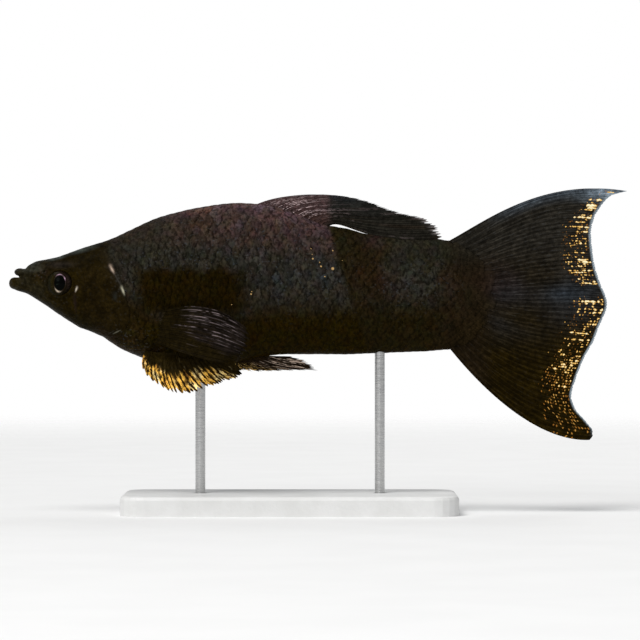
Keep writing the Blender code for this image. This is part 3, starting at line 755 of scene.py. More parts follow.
def near_line(x, z, line):
    """Distance to a drawn line in the side view, and the share along it."""
    best = np.full(x.shape, 1e9)
    share = np.zeros(x.shape)
    line = np.asarray(line, float)
    run = np.concatenate([[0], np.cumsum(np.linalg.norm(np.diff(line, axis=0), axis=1))])
    for (a, b, s0, s1) in zip(line[:-1], line[1:], run[:-1], run[1:]):
        d = b - a
        t = np.clip(((x - a[0]) * d[0] + (z - a[1]) * d[1]) / (d @ d), 0, 1)
        far = np.hypot(x - a[0] - t * d[0], z - a[1] - t * d[1])
        closer = far < best
        best = np.where(closer, far, best)
        share = np.where(closer, (s0 + t * (s1 - s0)) / run[-1], share)
    return best, share


def gill_edge(level):
    """The gill cover's rear rim; under the throat it runs on forward."""
    return GILL_NOTCH + GILL_SWEEP * gill_shape(level) - 2.6 * ease(-0.72, -1.0, level)


def head_relief(p):
    """How far the head's surface stands out or in, by place, in mm."""
    x, y, z = p[:, 0], np.abs(p[:, 1]), p[:, 2]
    level = level_at(x, z)
    out = np.full(len(p), -0.03)

    # the gill cover: a raised rear rim, a deep cut behind it, then the body
    levels = np.linspace(0.97, -1.0, 140)
    rim_x = gill_edge(levels)
    back, belly, half, wide, above, below = section(rim_x)
    up = levels >= 0
    n = np.where(up, above, below)
    rim_z = wide + np.where(up, back - wide, wide - belly) * np.sign(levels) * np.abs(levels) ** (2 / n)
    far, share = near_line(x, z, np.stack([rim_x, rim_z], -1))
    behind = x > gill_edge(level)
    d = np.where(behind, far, -far)
    open_here = ease(0.74, 0.56, level)
    low = 1 - 0.88 * ease(-0.42, -0.80, level)
    cover = 0.10 * np.exp(np.minimum(d, 0) / 0.55) * ease(-0.09, 0.06, -d)
    cut = -0.36 * ease(-0.09, 0.13, d) * (1 - ease(0.25, 1.5, d))
    out += open_here * low * (cover + cut)
    body_side = ease(-0.05, 1.2, x - (GILL_NOTCH + GILL_SWEEP * gill_shape(level)))
    out -= (COAT - 0.03) * body_side

    # the gill membrane's folds below the cheek
    for line, depth in ((((11.6, -5.75), (13.4, -6.2), (15.6, -6.2)), 0.02),
                        (((11.6, -6.2), (13.6, -7.0), (15.4, -7.35)), 0.03)):
        far, share = near_line(x, z, line)
        out -= depth * np.exp(-(far / 0.16) ** 2) * ease(0, 0.15, share) * ease(1, 0.8, share)
        out += 0.6 * depth * np.exp(-((far - 0.33) / 0.22) ** 2) * ease(0, 0.15, share) * ease(1, 0.8, share)

    # the cheek's own edge, curving down and forward behind the eye
    cheek = ((11.9, 4.2), (12.5, 2.4), (12.9, 0.3), (12.7, -1.9), (11.6, -3.5), (9.6, -4.2), (7.6, -3.2))
    far, share = near_line(x, z, cheek)
    fade = ease(0, 0.2, share) * ease(1, 0.75, share)
    inner = x < np.interp(z, [-3.5, -1.9, 0.3, 2.4, 4.2], [11.6, 12.7, 12.9, 12.5, 11.9])
    out += fade * (np.where(inner, 0.07, -0.05) * np.exp(-(far / 0.45) ** 2) - 0.05 * np.exp(-(far / 0.14) ** 2))

    # the orbit: a fold round the eye and a shallow furrow outside it
    r = np.hypot(x - EYE[0], (z - EYE[2]))
    on_side = ease(0.4, 0.7, y / np.maximum(half_at(x), 0.1))
    fold = 0.17 * np.exp(-((r - 2.08) / 0.22) ** 2) - 0.09 * np.exp(-((r - 2.62) / 0.26) ** 2)
    fold += 0.05 * np.exp(-((r - 3.05) / 0.3) ** 2)
    out += on_side * fold
    out -= on_side * 0.95 * ease(2.02, 1.72, r)

    # nostrils: a low collar round a pit, and a smaller slit behind it
    for at, size in (((5.05, 2.62), 0.34), ((6.05, 2.95), 0.24)):
        r = np.hypot(x - at[0], z - at[1])
        out += on_side * (0.13 * np.exp(-((r - size) / 0.15) ** 2) - 0.30 * np.exp(-(r / (0.75 * size)) ** 2))

    # furrow between the snout and the cheek, in front of the eye
    far, share = near_line(x, z, ((4.0, 3.0), (5.4, 1.9), (6.1, 0.6), (6.3, -0.6)))
    out -= on_side * 0.08 * np.exp(-(far / 0.22) ** 2) * ease(0, 0.2, share) * ease(1, 0.7, share)
    far, share = near_line(x, z, ((3.3, 1.3), (4.4, 0.4), (5.6, -0.9), (6.6, -2.0)))
    out -= on_side * 0.07 * np.exp(-(far / 0.20) ** 2) * ease(0, 0.2, share) * ease(1, 0.7, share)

    # the brow rises steeply behind the lips
    out += 0.26 * bump(x, 4.5, 1.25) * ease(0.45, 0.95, level)

    # soft unevenness of the flesh
    out += 0.035 * waves(11, x / 3.1, z / 2.7, y / 3.0, octaves=8)
    out += 0.018 * waves(12, x / 1.1, z / 1.0, y / 1.2, octaves=9)
    return out


def half_at(x):
    return np.interp(x, FINE, FINE_ROWS[2])


def make_skin(look):
    head = remeshed(head_forms(), 0.115)
    # open it where the body begins
    bm = bmesh.new()
    bm.from_mesh(head)
    cut = bmesh.ops.bisect_plane(bm, geom=list(bm.verts) + list(bm.edges) + list(bm.faces), dist=1e-5,
                                 plane_co=(JOIN, 0, 0), plane_no=(1, 0, 0), clear_outer=True)
    bm.to_mesh(head)
    bm.free()
    points = coords_of(head)
    edges = edges_of(head)
    rim = np.abs(points[:, 0] - JOIN) < 1e-3
    free = np.where(rim, 0.0, 1.0)
    points = relax(points, edges, 4, 0.5, free)
    head.vertices.foreach_set("co", points.astype(np.float32).ravel())
    head.update()
    normal = normals_of(head)
    points = points + normal * head_relief(points)[:, None]
    points[rim, 0] = JOIN
    weight = free * ease(0.0, 0.02, 0.02 + 0 * points[:, 0])
    points = relax(points, edges, 1, 0.35, weight)
    head.vertices.foreach_set("co", points.astype(np.float32).ravel())

    # the body, in rings that end along the tail's root
    cols = 200
    stations = np.concatenate([np.arange(JOIN + 0.22, 57.8, 0.30), np.arange(57.9, 71.6, 0.24)])
    rings = []
    for u in stations:
        a = np.linspace(0, 2 * math.pi, 1440, endpoint=False)
        s = np.sin(a)
        level = np.sign(s) * np.abs(s) ** 0.95
        r = body(u + STALK_SWEEP * ease(58.0, STALK_END, u) * (1 - level**2), a)
        run = np.concatenate([[0], np.cumsum(np.linalg.norm(np.diff(np.concatenate([r, r[:1]]), axis=0), axis=1))])
        even = np.linspace(0, run[-1], cols, endpoint=False)
        rings.append(np.stack([np.interp(even, run, np.append(r[:, k], r[0, k])) for k in range(3)], -1))
    rings = np.array(rings)
    du, dv = np.gradient(rings, axis=0), np.roll(rings, -1, 1) - np.roll(rings, 1, 1)
    normal = unit(np.cross(du, dv))
    if (normal[:, 0, 1] * rings[:, 0, 1]).mean() < 0:
        normal = -normal
    inset = np.full(len(rings), COAT)
    rings = rings - normal * inset[:, None, None]
    # the flesh thins to a rounded edge in the tail's root
    end = rings[-1].copy()
    for share, step in ((0.72, 0.16), (0.35, 0.26)):
        r = end.copy()
        r[:, 1] *= share
        r[:, 0] += step
        r[:, 2] = end[:, 2].mean() + (end[:, 2] - end[:, 2].mean()) * (1 - 0.02 * (1 - share))
        rings = np.concatenate([rings, r[None]])

    bm = bmesh.new()
    bm.from_mesh(head)
    bpy.data.meshes.remove(head)
    open_rim = [e for e in bm.edges if e.is_boundary]
    verts = [[bm.verts.new(p) for p in row] for row in rings.tolist()]
    for one, two in zip(verts, verts[1:]):
        for k in range(cols):
            n = (k + 1) % cols
            bm.faces.new((one[k], one[n], two[n], two[k]))
    first = [bm.edges.get((verts[0][k], verts[0][(k + 1) % cols])) for k in range(cols)]
    bmesh.ops.bridge_loops(bm, edges=open_rim + first)
    # close the thin rear edge with a strip across it
    last = verts[-1]
    half = cols // 2
    for k in range(half):
        a, b = last[(cols // 4 + k) % cols], last[(cols // 4 + k + 1) % cols]
        c, d = last[(cols // 4 - k - 1) % cols], last[(cols // 4 - k) % cols]
        ring_ = []
        for v in (a, b, c, d):
            if v not in ring_:
                ring_.append(v)
        if len(ring_) >= 3:
            bm.faces.new(ring_)
    bmesh.ops.recalc_face_normals(bm, faces=bm.faces)
    mesh = bpy.data.meshes.new("molly_skin")
    bm.to_mesh(mesh)
    bm.free()
    points = coords_of(mesh)
    mesh.vertices.foreach_set("co", to_frame(points).astype(np.float32).ravel())
    mesh.update()
    set_point(mesh, "Tone", tone(points))
    set_point(mesh, "Mark", marks(points))
    # the skin unrolled: along the body, and round it from the belly line
    index = np.zeros(len(mesh.loops), np.int32)
    mesh.loops.foreach_get("vertex_index", index)
    wide = section(points[:, 0])[3]
    round_ = np.arctan2(points[:, 1], -(points[:, 2] - wide)) / (2 * math.pi) + 0.5
    start = np.zeros(len(mesh.polygons), np.int32)
    count = np.zeros(len(mesh.polygons), np.int32)
    mesh.polygons.foreach_get("loop_start", start)
    mesh.polygons.foreach_get("loop_total", count)
    face = np.repeat(np.arange(len(start)), count)
    v = round_[index]
    mean = np.bincount(face, v) / count
    top = np.maximum.reduceat(v, start)
    low = np.minimum.reduceat(v, start)
    torn = (top - low) > 0.5
    v = np.where(torn[face] & (v < 0.5), v + 1, v)
    v = np.where(torn[face] & (mean[face] < 0.5), v - 1, v)
    uv = np.stack([points[index, 0] / 80, 0.03 + 0.94 * v], -1)
    set_uv(mesh, "OFBake", per_loop=uv)
    return add_object(mesh, "molly_skin", look)


def marks(p):
    """Small pale marks of the head, one of them a painted highlight behind the eye: colour, and how strongly they show.
    """
    x, y, z = p[:, 0], np.abs(p[:, 1]), p[:, 2]
    colour = np.zeros((len(p), 4))

    def lay(rgb, share):
        share = np.clip(share, 0, 1)
        colour[:, :3] = colour[:, :3] * (1 - share[:, None]) + np.array(rgb) * share[:, None]
        colour[:, 3] = np.maximum(colour[:, 3], share)

    side = ease(0.3, 0.6, y / np.maximum(half_at(x), 0.1))
    for line, width, rgb, strength in (
            (((16.68, 3.95), (17.46, 2.50)), 0.42, (0.045, 0.022, 0.014), 0.75),
            (((18.55, 0.62), (19.15, -0.95)), 0.46, (0.042, 0.040, 0.024), 0.70),
            (((17.5, -0.6), (17.6, -1.7)), 0.55, (0.026, 0.032, 0.030), 0.65),
            (((16.72, 3.84), (17.36, 2.66)), 0.25, (0.56, 0.43, 0.33), 0.95),
            (((17.36, 2.66), (18.60, 0.50)), 0.13, (0.085, 0.080, 0.072), 0.65),
            (((18.60, 0.42), (19.06, -0.78)), 0.26, (0.52, 0.49, 0.36), 0.95),
            # behind the eye: a pale streak in a dark surround, a painted highlight
            (((11.46, 0.58), (11.05, -0.55)), 0.36, (0.036, 0.014, 0.004), 0.70),
            (((11.38, 0.44), (11.14, -0.34)), 0.17, (0.60, 0.53, 0.43), 1.0),
            (((10.95, -0.7), (11.1, -3.6)), 0.40, (0.026, 0.015, 0.015), 0.6),
            (((16.1, -7.2), (17.3, -6.55)), 0.12, (0.050, 0.045, 0.030), 0.7),
            (((17.1, -7.05), (18.4, -6.45)), 0.14, (0.19, 0.18, 0.13), 0.8)):
        far, share = near_line(x, z, line)
        ragged = 1 + 0.30 * waves(62, x * 1.1, z * 1.1, octaves=9)
        taper = (1.15 - 0.55 * share) * ragged
        lay(rgb, strength * side * np.exp(-(far / (width * taper)) ** 2) * (0.65 + 0.35 * np.sin(math.pi * np.clip(share, 0, 1))))
    return colour


# ==================================================================== scales
SCALE_ROWS = 21        # rows from back line to belly line


def scale_shape(n):
    """A unit scale: across -1..1, along -1 root..1 rear, and its faces."""
    a, b = np.meshgrid(np.linspace(-1, 1, n + 1), np.linspace(-1, 1, n + 1))
    across = a * np.sqrt(1 - b**2 / 2)
    along = b * np.sqrt(1 - a**2 / 2)
    return across.ravel(), along.ravel(), grid_faces(n + 1, n + 1)


def scale_places():
    """Root place u, v, spacing along, and column and row, of each scale."""
    places = []
    u, column = 7.4, 0
    while u < 74.8:
        pitch = float(np.interp(u, [7, 12, 16, 22, 32, 50, 66, 70, 76], [0.92, 1.08, 1.22, 1.36, 1.48, 1.44, 1.26, 1.08, 0.80]))
        for row in range(0, SCALE_ROWS + 1):
            places.append((u + (pitch / 2 if row % 2 else 0.0), row / SCALE_ROWS, pitch, column, row))
        u += pitch
        column += 1
    return places


def keep_scale(u, v):
    """Whether a scale grows here: not on gill cover, cheek, throat or where
    a middle fin grows, and thinning out over the tail's root."""
    if u < 14.5 and v > 0.13 + 0.17 * float(ease(8, 14.5, u)):
        return False
    if v > 0.80 and u < 13.4 + 1.6 * float(ease(0.98, 0.86, v)):
        return False
    if v == 0 and 39.6 < u < 52.6 or v == 1 and 35.6 < u < 43.4:
        return False
    if u > 71.5 and abs(v - 0.5) > 0.5 - 0.045 * (u - 70.5):
        return False
    return True


def make_scales(side, rear_half, look):
    """One side's coat, in front of or behind the middle of the trunk."""
    name = ("scales_left_" if side < 0 else "scales_right_") + ("rear" if rear_half else "front")
    across, along, faces = scale_shape(7)
    n = int(math.sqrt(len(across)))
    border = np.concatenate([np.arange(n), np.arange(1, n) * n + n - 1,
                             np.arange(n - 2, -1, -1) + (n - 1) * n, np.arange(n - 2, 0, -1) * n])
    rng = np.random.default_rng((21 if side < 0 else 22) + (10 if rear_half else 0))
    points, quads, tones, local, bake, vary, plain, fan = [], [], [], [], [], [], [], []
    base = 0
    for u, v, pitch, column, row in scale_places():
        jitter = rng.normal(0, 1, 8)
        if row == 0 and side > 0 or row == SCALE_ROWS and side < 0:
            continue                       # the middle rows belong to one side
        if not keep_scale(u, v) or (u >= 40.0) != rear_half:
            continue
        if u > 71.2 and rng.random() < float(ease(71.2, 74.8, u)):
            continue                       # thinning out over the tail's root
        girth = float(GIRTH.half_girth(np.array(u)))
        tall = girth / SCALE_ROWS
        long_ = pitch * 1.17 * (1 + 0.03 * jitter[0])
        high = tall * 1.10 * (1 + 0.03 * jitter[1]) / girth
        uc, vc = u + 0.04 * jitter[2], v + 0.03 * jitter[3] / SCALE_ROWS
        if row in (0, SCALE_ROWS):
            vc = v
        calm = float(ease(6.0, 17.0, u)) * 0.70 + 0.30       # lower relief on the head
        calm *= 1 - 0.80 * float(ease(67.5, 73.0, u))        # and on the tail's root
        calm *= 1 - 0.35 * float(ease(0.80, 0.98, v))
        rear = along > 0
        # the shown edge is faintly scalloped
        wave_ = 1 + 0.012 * np.cos(9 * np.arctan2(across, along) + jitter[6]) * rear
        su = uc + along * long_ * np.where(rear, 1.0, 0.92) * wave_
        sv = vc + across * high * wave_
        tilt = 0.025 * jitter[4] * across + 0.014 * jitter[5]
        rise = -COAT - 0.01 + 0.165 * calm * ease(-0.95, 0.75, along) - 0.045 * calm * across**2 + tilt * calm
        rise = rise - 0.03 * ease(0.82, 1.0, np.hypot(across, along)) * rear
        rise = rise - 0.10 * float(ease(70.5, 74.5, u))
        thick = 0.045
        top = GIRTH.at(su, sv, rise)
        low = GIRTH.at(su, sv, rise - thick)
        if side > 0:
            top, low = top * [1, -1, 1], low * [1, -1, 1]
        p = np.concatenate([top, low])
        under = faces[:, ::-1] + len(top)
        nxt = np.roll(border, -1)
        rim = np.stack([border, border + len(top), nxt + len(top), nxt], -1)
        allq = np.concatenate([faces, under, rim])
        if side < 0:
            allq = allq[:, ::-1]
        points.append(p)
        quads.append(allq + base)
        base += len(p)
        tones.append(tone(p))
        uv = np.stack([across / 2 + 0.5, along / 2 + 0.5], -1)
        local.append(np.concatenate([uv, uv]))
        root = np.array([(uc - 5) / 74, 0.04 + 0.92 * float(np.clip(vc, 0, 1))])
        bake.append(np.concatenate([root + (uv - 0.5) * 0.0030, root + (uv - 0.5) * 0.0030 + [0.0034, 0]]))
        # each scale's own tint, and how strongly the painted highlight in its middle shows
        hue = rng.normal(0, 1, 2)
        tint = 1 + 0.055 * jitter[7]
        colour = np.array([tint * (1 + 0.04 * hue[0]), tint * (1 + 0.012 * hue[1]), tint * (1 - 0.05 * hue[0] + 0.03 * hue[1])])
        shine = float(np.clip(0.72 + 0.34 * rng.normal(), 0.05, 1.5))
        vary.append(np.tile(np.append(np.clip(colour, 0.6, 1.5), shine), (len(p), 1)))
        along_root = np.concatenate([su, su])
        plain.append(ease(67.8, 72.3, along_root))
        fan.append(np.stack(tail_fan(p[:, 0], p[:, 2]), -1) if u > 66 else np.zeros((len(p), 2)))
    points, quads = np.concatenate(points), np.concatenate(quads)
    mesh = build_mesh(name, points, quads)
    set_point(mesh, "Tone", np.concatenate(tones))
    set_point(mesh, "Vary", np.concatenate(vary))
    set_point(mesh, "Plain", np.concatenate(plain))
    set_uv(mesh, "OFBake", np.concatenate(bake))
    set_uv(mesh, "Scale", np.concatenate(local))
    set_uv(mesh, "Fan", np.concatenate(fan))
    return add_object(mesh, name, look)


# ====================================================================== eyes
def make_eye(side, look):
    """The eyeball: a domed pupil in a raised ring, pale only in painted reflections, and the dark iris."""
    rows, cols = 84, 120
    r = np.concatenate([np.linspace(0, 1, rows) ** 0.9])
    a = np.linspace(0, 2 * math.pi, cols, endpoint=False)
    rr, aa = np.meshgrid(r, a, indexing="ij")
    # rr 0..1 is the seen face, from its middle to the eyeball's equator
    px, pz = rr * np.cos(aa), rr * np.sin(aa)
    depth = np.sqrt(np.clip(1 - rr**2, 0, 1))
    x, z = px * EYE_RADII[0], pz * EYE_RADII[2]
    # the ring is raised; its paleness is painted reflection, laid on below
    ring = np.hypot(x / 0.98, z / 1.38)           # 1 on the pale ring
    swell = 0.025 * np.exp(-((ring - 1.0) / 0.11) ** 2) - 0.04 * np.exp(-((ring - 1.24) / 0.18) ** 2)
    swell += 0.08 * np.clip(1 - (ring / 0.88) ** 2, 0, 1)
    y = EYE_RADII[1] * depth + swell
    front = np.stack([EYE[0] + x, side * (EYE[1] + y), EYE[2] + z], -1)
    # the hidden back half
    back_rows = 12
    b = np.linspace(0, math.pi / 2, back_rows + 1)[1:-1]
    bb, ab = np.meshgrid(b, a, indexing="ij")
    rear = np.stack([EYE[0] + EYE_RADII[0] * np.cos(bb) * np.cos(ab), side * (EYE[1] - 0.9 * np.sin(bb)),
                     EYE[2] + EYE_RADII[2] * np.cos(bb) * np.sin(ab)], -1)
    rings = np.concatenate([front[1:], rear])
    points, quads, tris = closed_loft(rings)
    if side > 0:
        quads, tris = quads[:, ::-1], tris[:, ::-1]
    name = "eyeball_left" if side < 0 else "eyeball_right"
    mesh = build_mesh(name, points, quads, tris)
    bm = bmesh.new()
    bm.from_mesh(mesh)
    bmesh.ops.recalc_face_normals(bm, faces=bm.faces)
    bm.to_mesh(mesh)
    bm.free()
    dx, dz = points[:, 0] - EYE[0], points[:, 2] - EYE[2]
    ring = np.hypot(dx / 0.98, dz / 1.38)
    angle = np.degrees(np.arctan2(dz, dx))

    def arc(at, width):
        off = (angle - at + 180) % 360 - 180
        return np.exp(-(off / width) ** 2)

    # painted reflections on the ring round the pupil, pink above and cream below, strongest at the top, the upper rear
    # and the bottom
    ring_reflections = 0.60 * arc(92, 20) + 0.95 * arc(42, 13) + 1.0 * arc(-108, 20) + 0.05 * arc(5, 28)
    colour = np.zeros((len(points), 4))
    pupil = ease(0.93, 0.86, ring)
    colour[:, :3] = [0.0078, 0.0054, 0.0012]
    halo = np.exp(-((ring - 1.30) / 0.20) ** 2)
    colour[:, :3] += np.array([0.0125, 0.0062, 0.0080]) * (halo * (0.05 + 1.1 * arc(25, 50) + 0.5 * arc(95, 22)))[:, None]
    colour[:, :3] += np.array([0.0115, 0.0096, 0.0014]) * (halo * arc(180, 62))[:, None]
    # outer zone: purple-grey on the rear side, partly its own colour and partly painted light over the socket's shade;
    # greenish-grey on the front side, a painted highlight
    outer = np.exp(-((ring - 1.66) / 0.26) ** 2)
    colour[:, :3] += np.array([0.0160, 0.0105, 0.0115]) * (outer * arc(5, 50))[:, None]
    colour[:, :3] += np.array([0.0060, 0.0068, 0.0045]) * (outer * arc(180, 70))[:, None]
    line = np.exp(-((ring - 0.985 - 0.05 * arc(-104, 30)) / (0.060 + 0.045 * arc(-106, 22) + 0.02 * arc(40, 14))) ** 2)
    pink, cream = np.array([0.56, 0.36, 0.48]), np.array([0.66, 0.55, 0.43])
    low = ease(10, -40, angle)[:, None]
    colour[:, :3] += (pink * (1 - low) + cream * low) * (line * np.clip(ring_reflections, 0, 1))[:, None]
    line = np.exp(-((ring - 1.02) / 0.12) ** 2)
    colour[:, :3] += np.array([0.0065, 0.0030, 0.0022]) * (line * (0.25 + 0.75 * arc(-95, 70)))[:, None]
    rays = 0.75 + 0.25 * waves(61, angle / 18.0, ring * 1.2, octaves=9)
    colour[:, :3] *= np.where(ring > 1.05, rays, 1.0)[:, None]
    colour[:, :3] = colour[:, :3] * (1 - pupil[:, None]) + np.array([0.0012, 0.0014, 0.0012]) * pupil[:, None]
    # grey-green painted reflections mottle the pupil
    pupil_reflection = ease(0.25, 1.3, waves(64, dx / 0.42, dz / 0.42, octaves=7)) * pupil * ease(0.80, 0.35, ring)
    colour[:, :3] += np.array([0.0120, 0.0185, 0.0125]) * pupil_reflection[:, None]
    colour[:, 3] = 1 - pupil
    set_point(mesh, "Iris", colour)
    return add_object(mesh, name, look)


def eye_look():
    m = Look("molly_eye")
    place = m.place()
    colour, iris = m.attribute("Iris", "Color"), m.attribute("Iris", "Alpha")
    fine = m.noise(place, 9000, 3, 0.6)
    shade = m.mix(iris, colour, m.mix(1.0, colour, m.ramp(fine, 0.25, 0.75, 0.55, 1.5), "MULTIPLY"))
    m.set(Base_Color=shade, Roughness=m.ramp(fine, 0.2, 0.8, 0.24, 0.34), Specular_IOR_Level=0.012)
    m.set(Coat_Weight=0.014, Coat_Roughness=0.05)
    m.bumps((m.math("MULTIPLY", fine, iris), 0.25, 0.00004))
    return m.material


# ====================================================================== fins
class Fin:
    """A fan of rays. The base line and the rim are given from the first ray
    to the last, and the first and last ray by their two middle handles."""

    def __init__(self, base, rim, first, last):
        self.base, self.rim = np.array(base, float), np.array(rim, float)
        self.offsets = []
        for t, handles in ((0.0, first), (1.0, last)):
            root, tip = self.on(self.base, t), self.on(self.rim, t)
            length = np.linalg.norm(tip - root)
            self.offsets.append(((np.array(handles[0]) - root) / length, (np.array(handles[1]) - tip) / length))

    @staticmethod
    def on(points, t):
        return np.stack([smooth_curve(points[:, 0], points[:, k], t) for k in (1, 2)], -1)

    def at(self, s, t):
        root, tip = self.on(self.base, t), self.on(self.rim, t)
        length = np.linalg.norm(tip - root, axis=-1)[..., None]
        (a0, b0), (a1, b1) = self.offsets
        w, s = t[..., None], s[..., None]
        one = root + length * ((1 - w) * a0 + w * a1)
        two = tip + length * ((1 - w) * b0 + w * b1)
        return (1 - s)**3 * root + 3 * (1 - s)**2 * s * one + 3 * (1 - s) * s * s * two + s**3 * tip

    def length(self, t):
        return np.linalg.norm(self.on(self.rim, t) - self.on(self.base, t), axis=-1)


TAIL = Fin(
    base=((0, 71.3, 8.02), (0.12, 73.2, 6.1), (0.5, 75.65, -0.85), (0.88, 73.2, -7.8), (1, 71.35, -9.5)),
    rim=((0, 100.0, 16.0), (0.04, 97.4, 15.2), (0.08, 95.8, 13.5), (0.13, 94.7, 11.6),
         (0.20, 94.2, 9.1), (0.27, 94.4, 6.5), (0.34, 94.8, 3.9), (0.41, 95.6, 1.3),
         (0.51, 96.8, -2.3), (0.60, 95.4, -6.1), (0.66, 94.6, -8.2), (0.72, 93.3, -10.5),
         (0.77, 92.4, -12.5), (0.82, 91.6, -14.7), (0.87, 91.0, -17.1), (0.91, 91.6, -19.1),
         (0.95, 93.5, -21.4), (0.975, 94.45, -22.8), (0.99, 94.45, -23.6), (1, 93.9, -24.25)),
    first=((77.2, 11.2), (86.3, 18.3)), last=((76.2, -15.6), (85.2, -24.6)),
)
DORSAL = Fin(
    base=((0, 39.3, 13.45), (0.3, 43.6, 12.80), (0.7, 48.3, 11.05), (1, 51.3, 9.85)),
    rim=((0, 51.3, 15.42), (0.2, 54.2, 15.2), (0.38, 57.9, 14.45), (0.54, 61.4, 13.20),
         (0.68, 64.6, 12.20), (0.80, 67.2, 11.70), (0.90, 69.4, 10.1), (0.96, 70.1, 9.1), (1, 70.4, 8.0)),
    first=((41.9, 14.95), (46.0, 15.55)), last=((53.6, 12.6), (56.45, 6.85)),
)
ANAL = Fin(
    base=((0, 36.6, -11.6), (1, 41.4, -10.5)),
    rim=((0, 37.2, -12.95), (0.2, 39.9, -13.2), (0.4, 43.5, -13.15), (0.6, 47.0, -13.0),
         (0.78, 50.3, -13.0), (0.90, 49.0, -11.75), (1, 46.0, -10.75)),
    first=((36.6, -12.2), (36.9, -12.8)), last=((42.9, -10.75), (44.3, -10.65)),
)
PECTORAL = Fin(
    base=((0, 24.3, -3.6), (0.5, 23.4, -5.9), (1, 23.4, -8.3)),
    rim=((0, 38.2, -5.9), (0.12, 39.2, -7.0), (0.35, 39.2, -8.7), (0.6, 38.6, -10.2), (0.8, 37.8, -11.1), (1, 35.6, -11.9)),
    first=((29.0, -1.9), (34.4, -2.2)), last=((27.2, -9.7), (31.8, -11.4)),
)
PELVIC = Fin(
    base=((0, 22.4, -9.4), (1, 32.0, -9.7)),
    rim=((0, 22.1, -12.7), (0.08, 22.9, -14.1), (0.18, 24.6, -15.4), (0.29, 26.6, -16.4), (0.40, 28.4, -16.85),
         (0.52, 30.6, -16.5), (0.64, 32.8, -15.7), (0.76, 35.1, -15.0), (0.88, 37.3, -14.0), (1, 38.7, -12.2)),
    first=((21.9, -10.6), (21.7, -11.7)), last=((33.2, -10.3), (36.2, -11.2)),
)


def branching(s, t, count, first, second, seed, sway=0.10, spread=0.45):
    """Distance to the nearest ray as a share of one main ray's spacing, the
    main ray's number, how far off its middle, and the branch's number."""
    t = t + sway / count * waves(seed, s * 0.8, t * 3.0, octaves=6)
    i = np.clip(np.floor(t * count), 0, count - 1)
    r = np.random.default_rng(seed)
    shift = r.uniform(-0.05, 0.05, count)[i.astype(int)]
    f = t * count - i - 0.5
    one = 0.25 * ease(first + shift, first + shift + spread, s)
    two = 0.125 * ease(second + shift, second + shift + spread, s)
    return np.abs(np.abs(np.abs(f) - one) - two), i.astype(int), f, t * count * 4


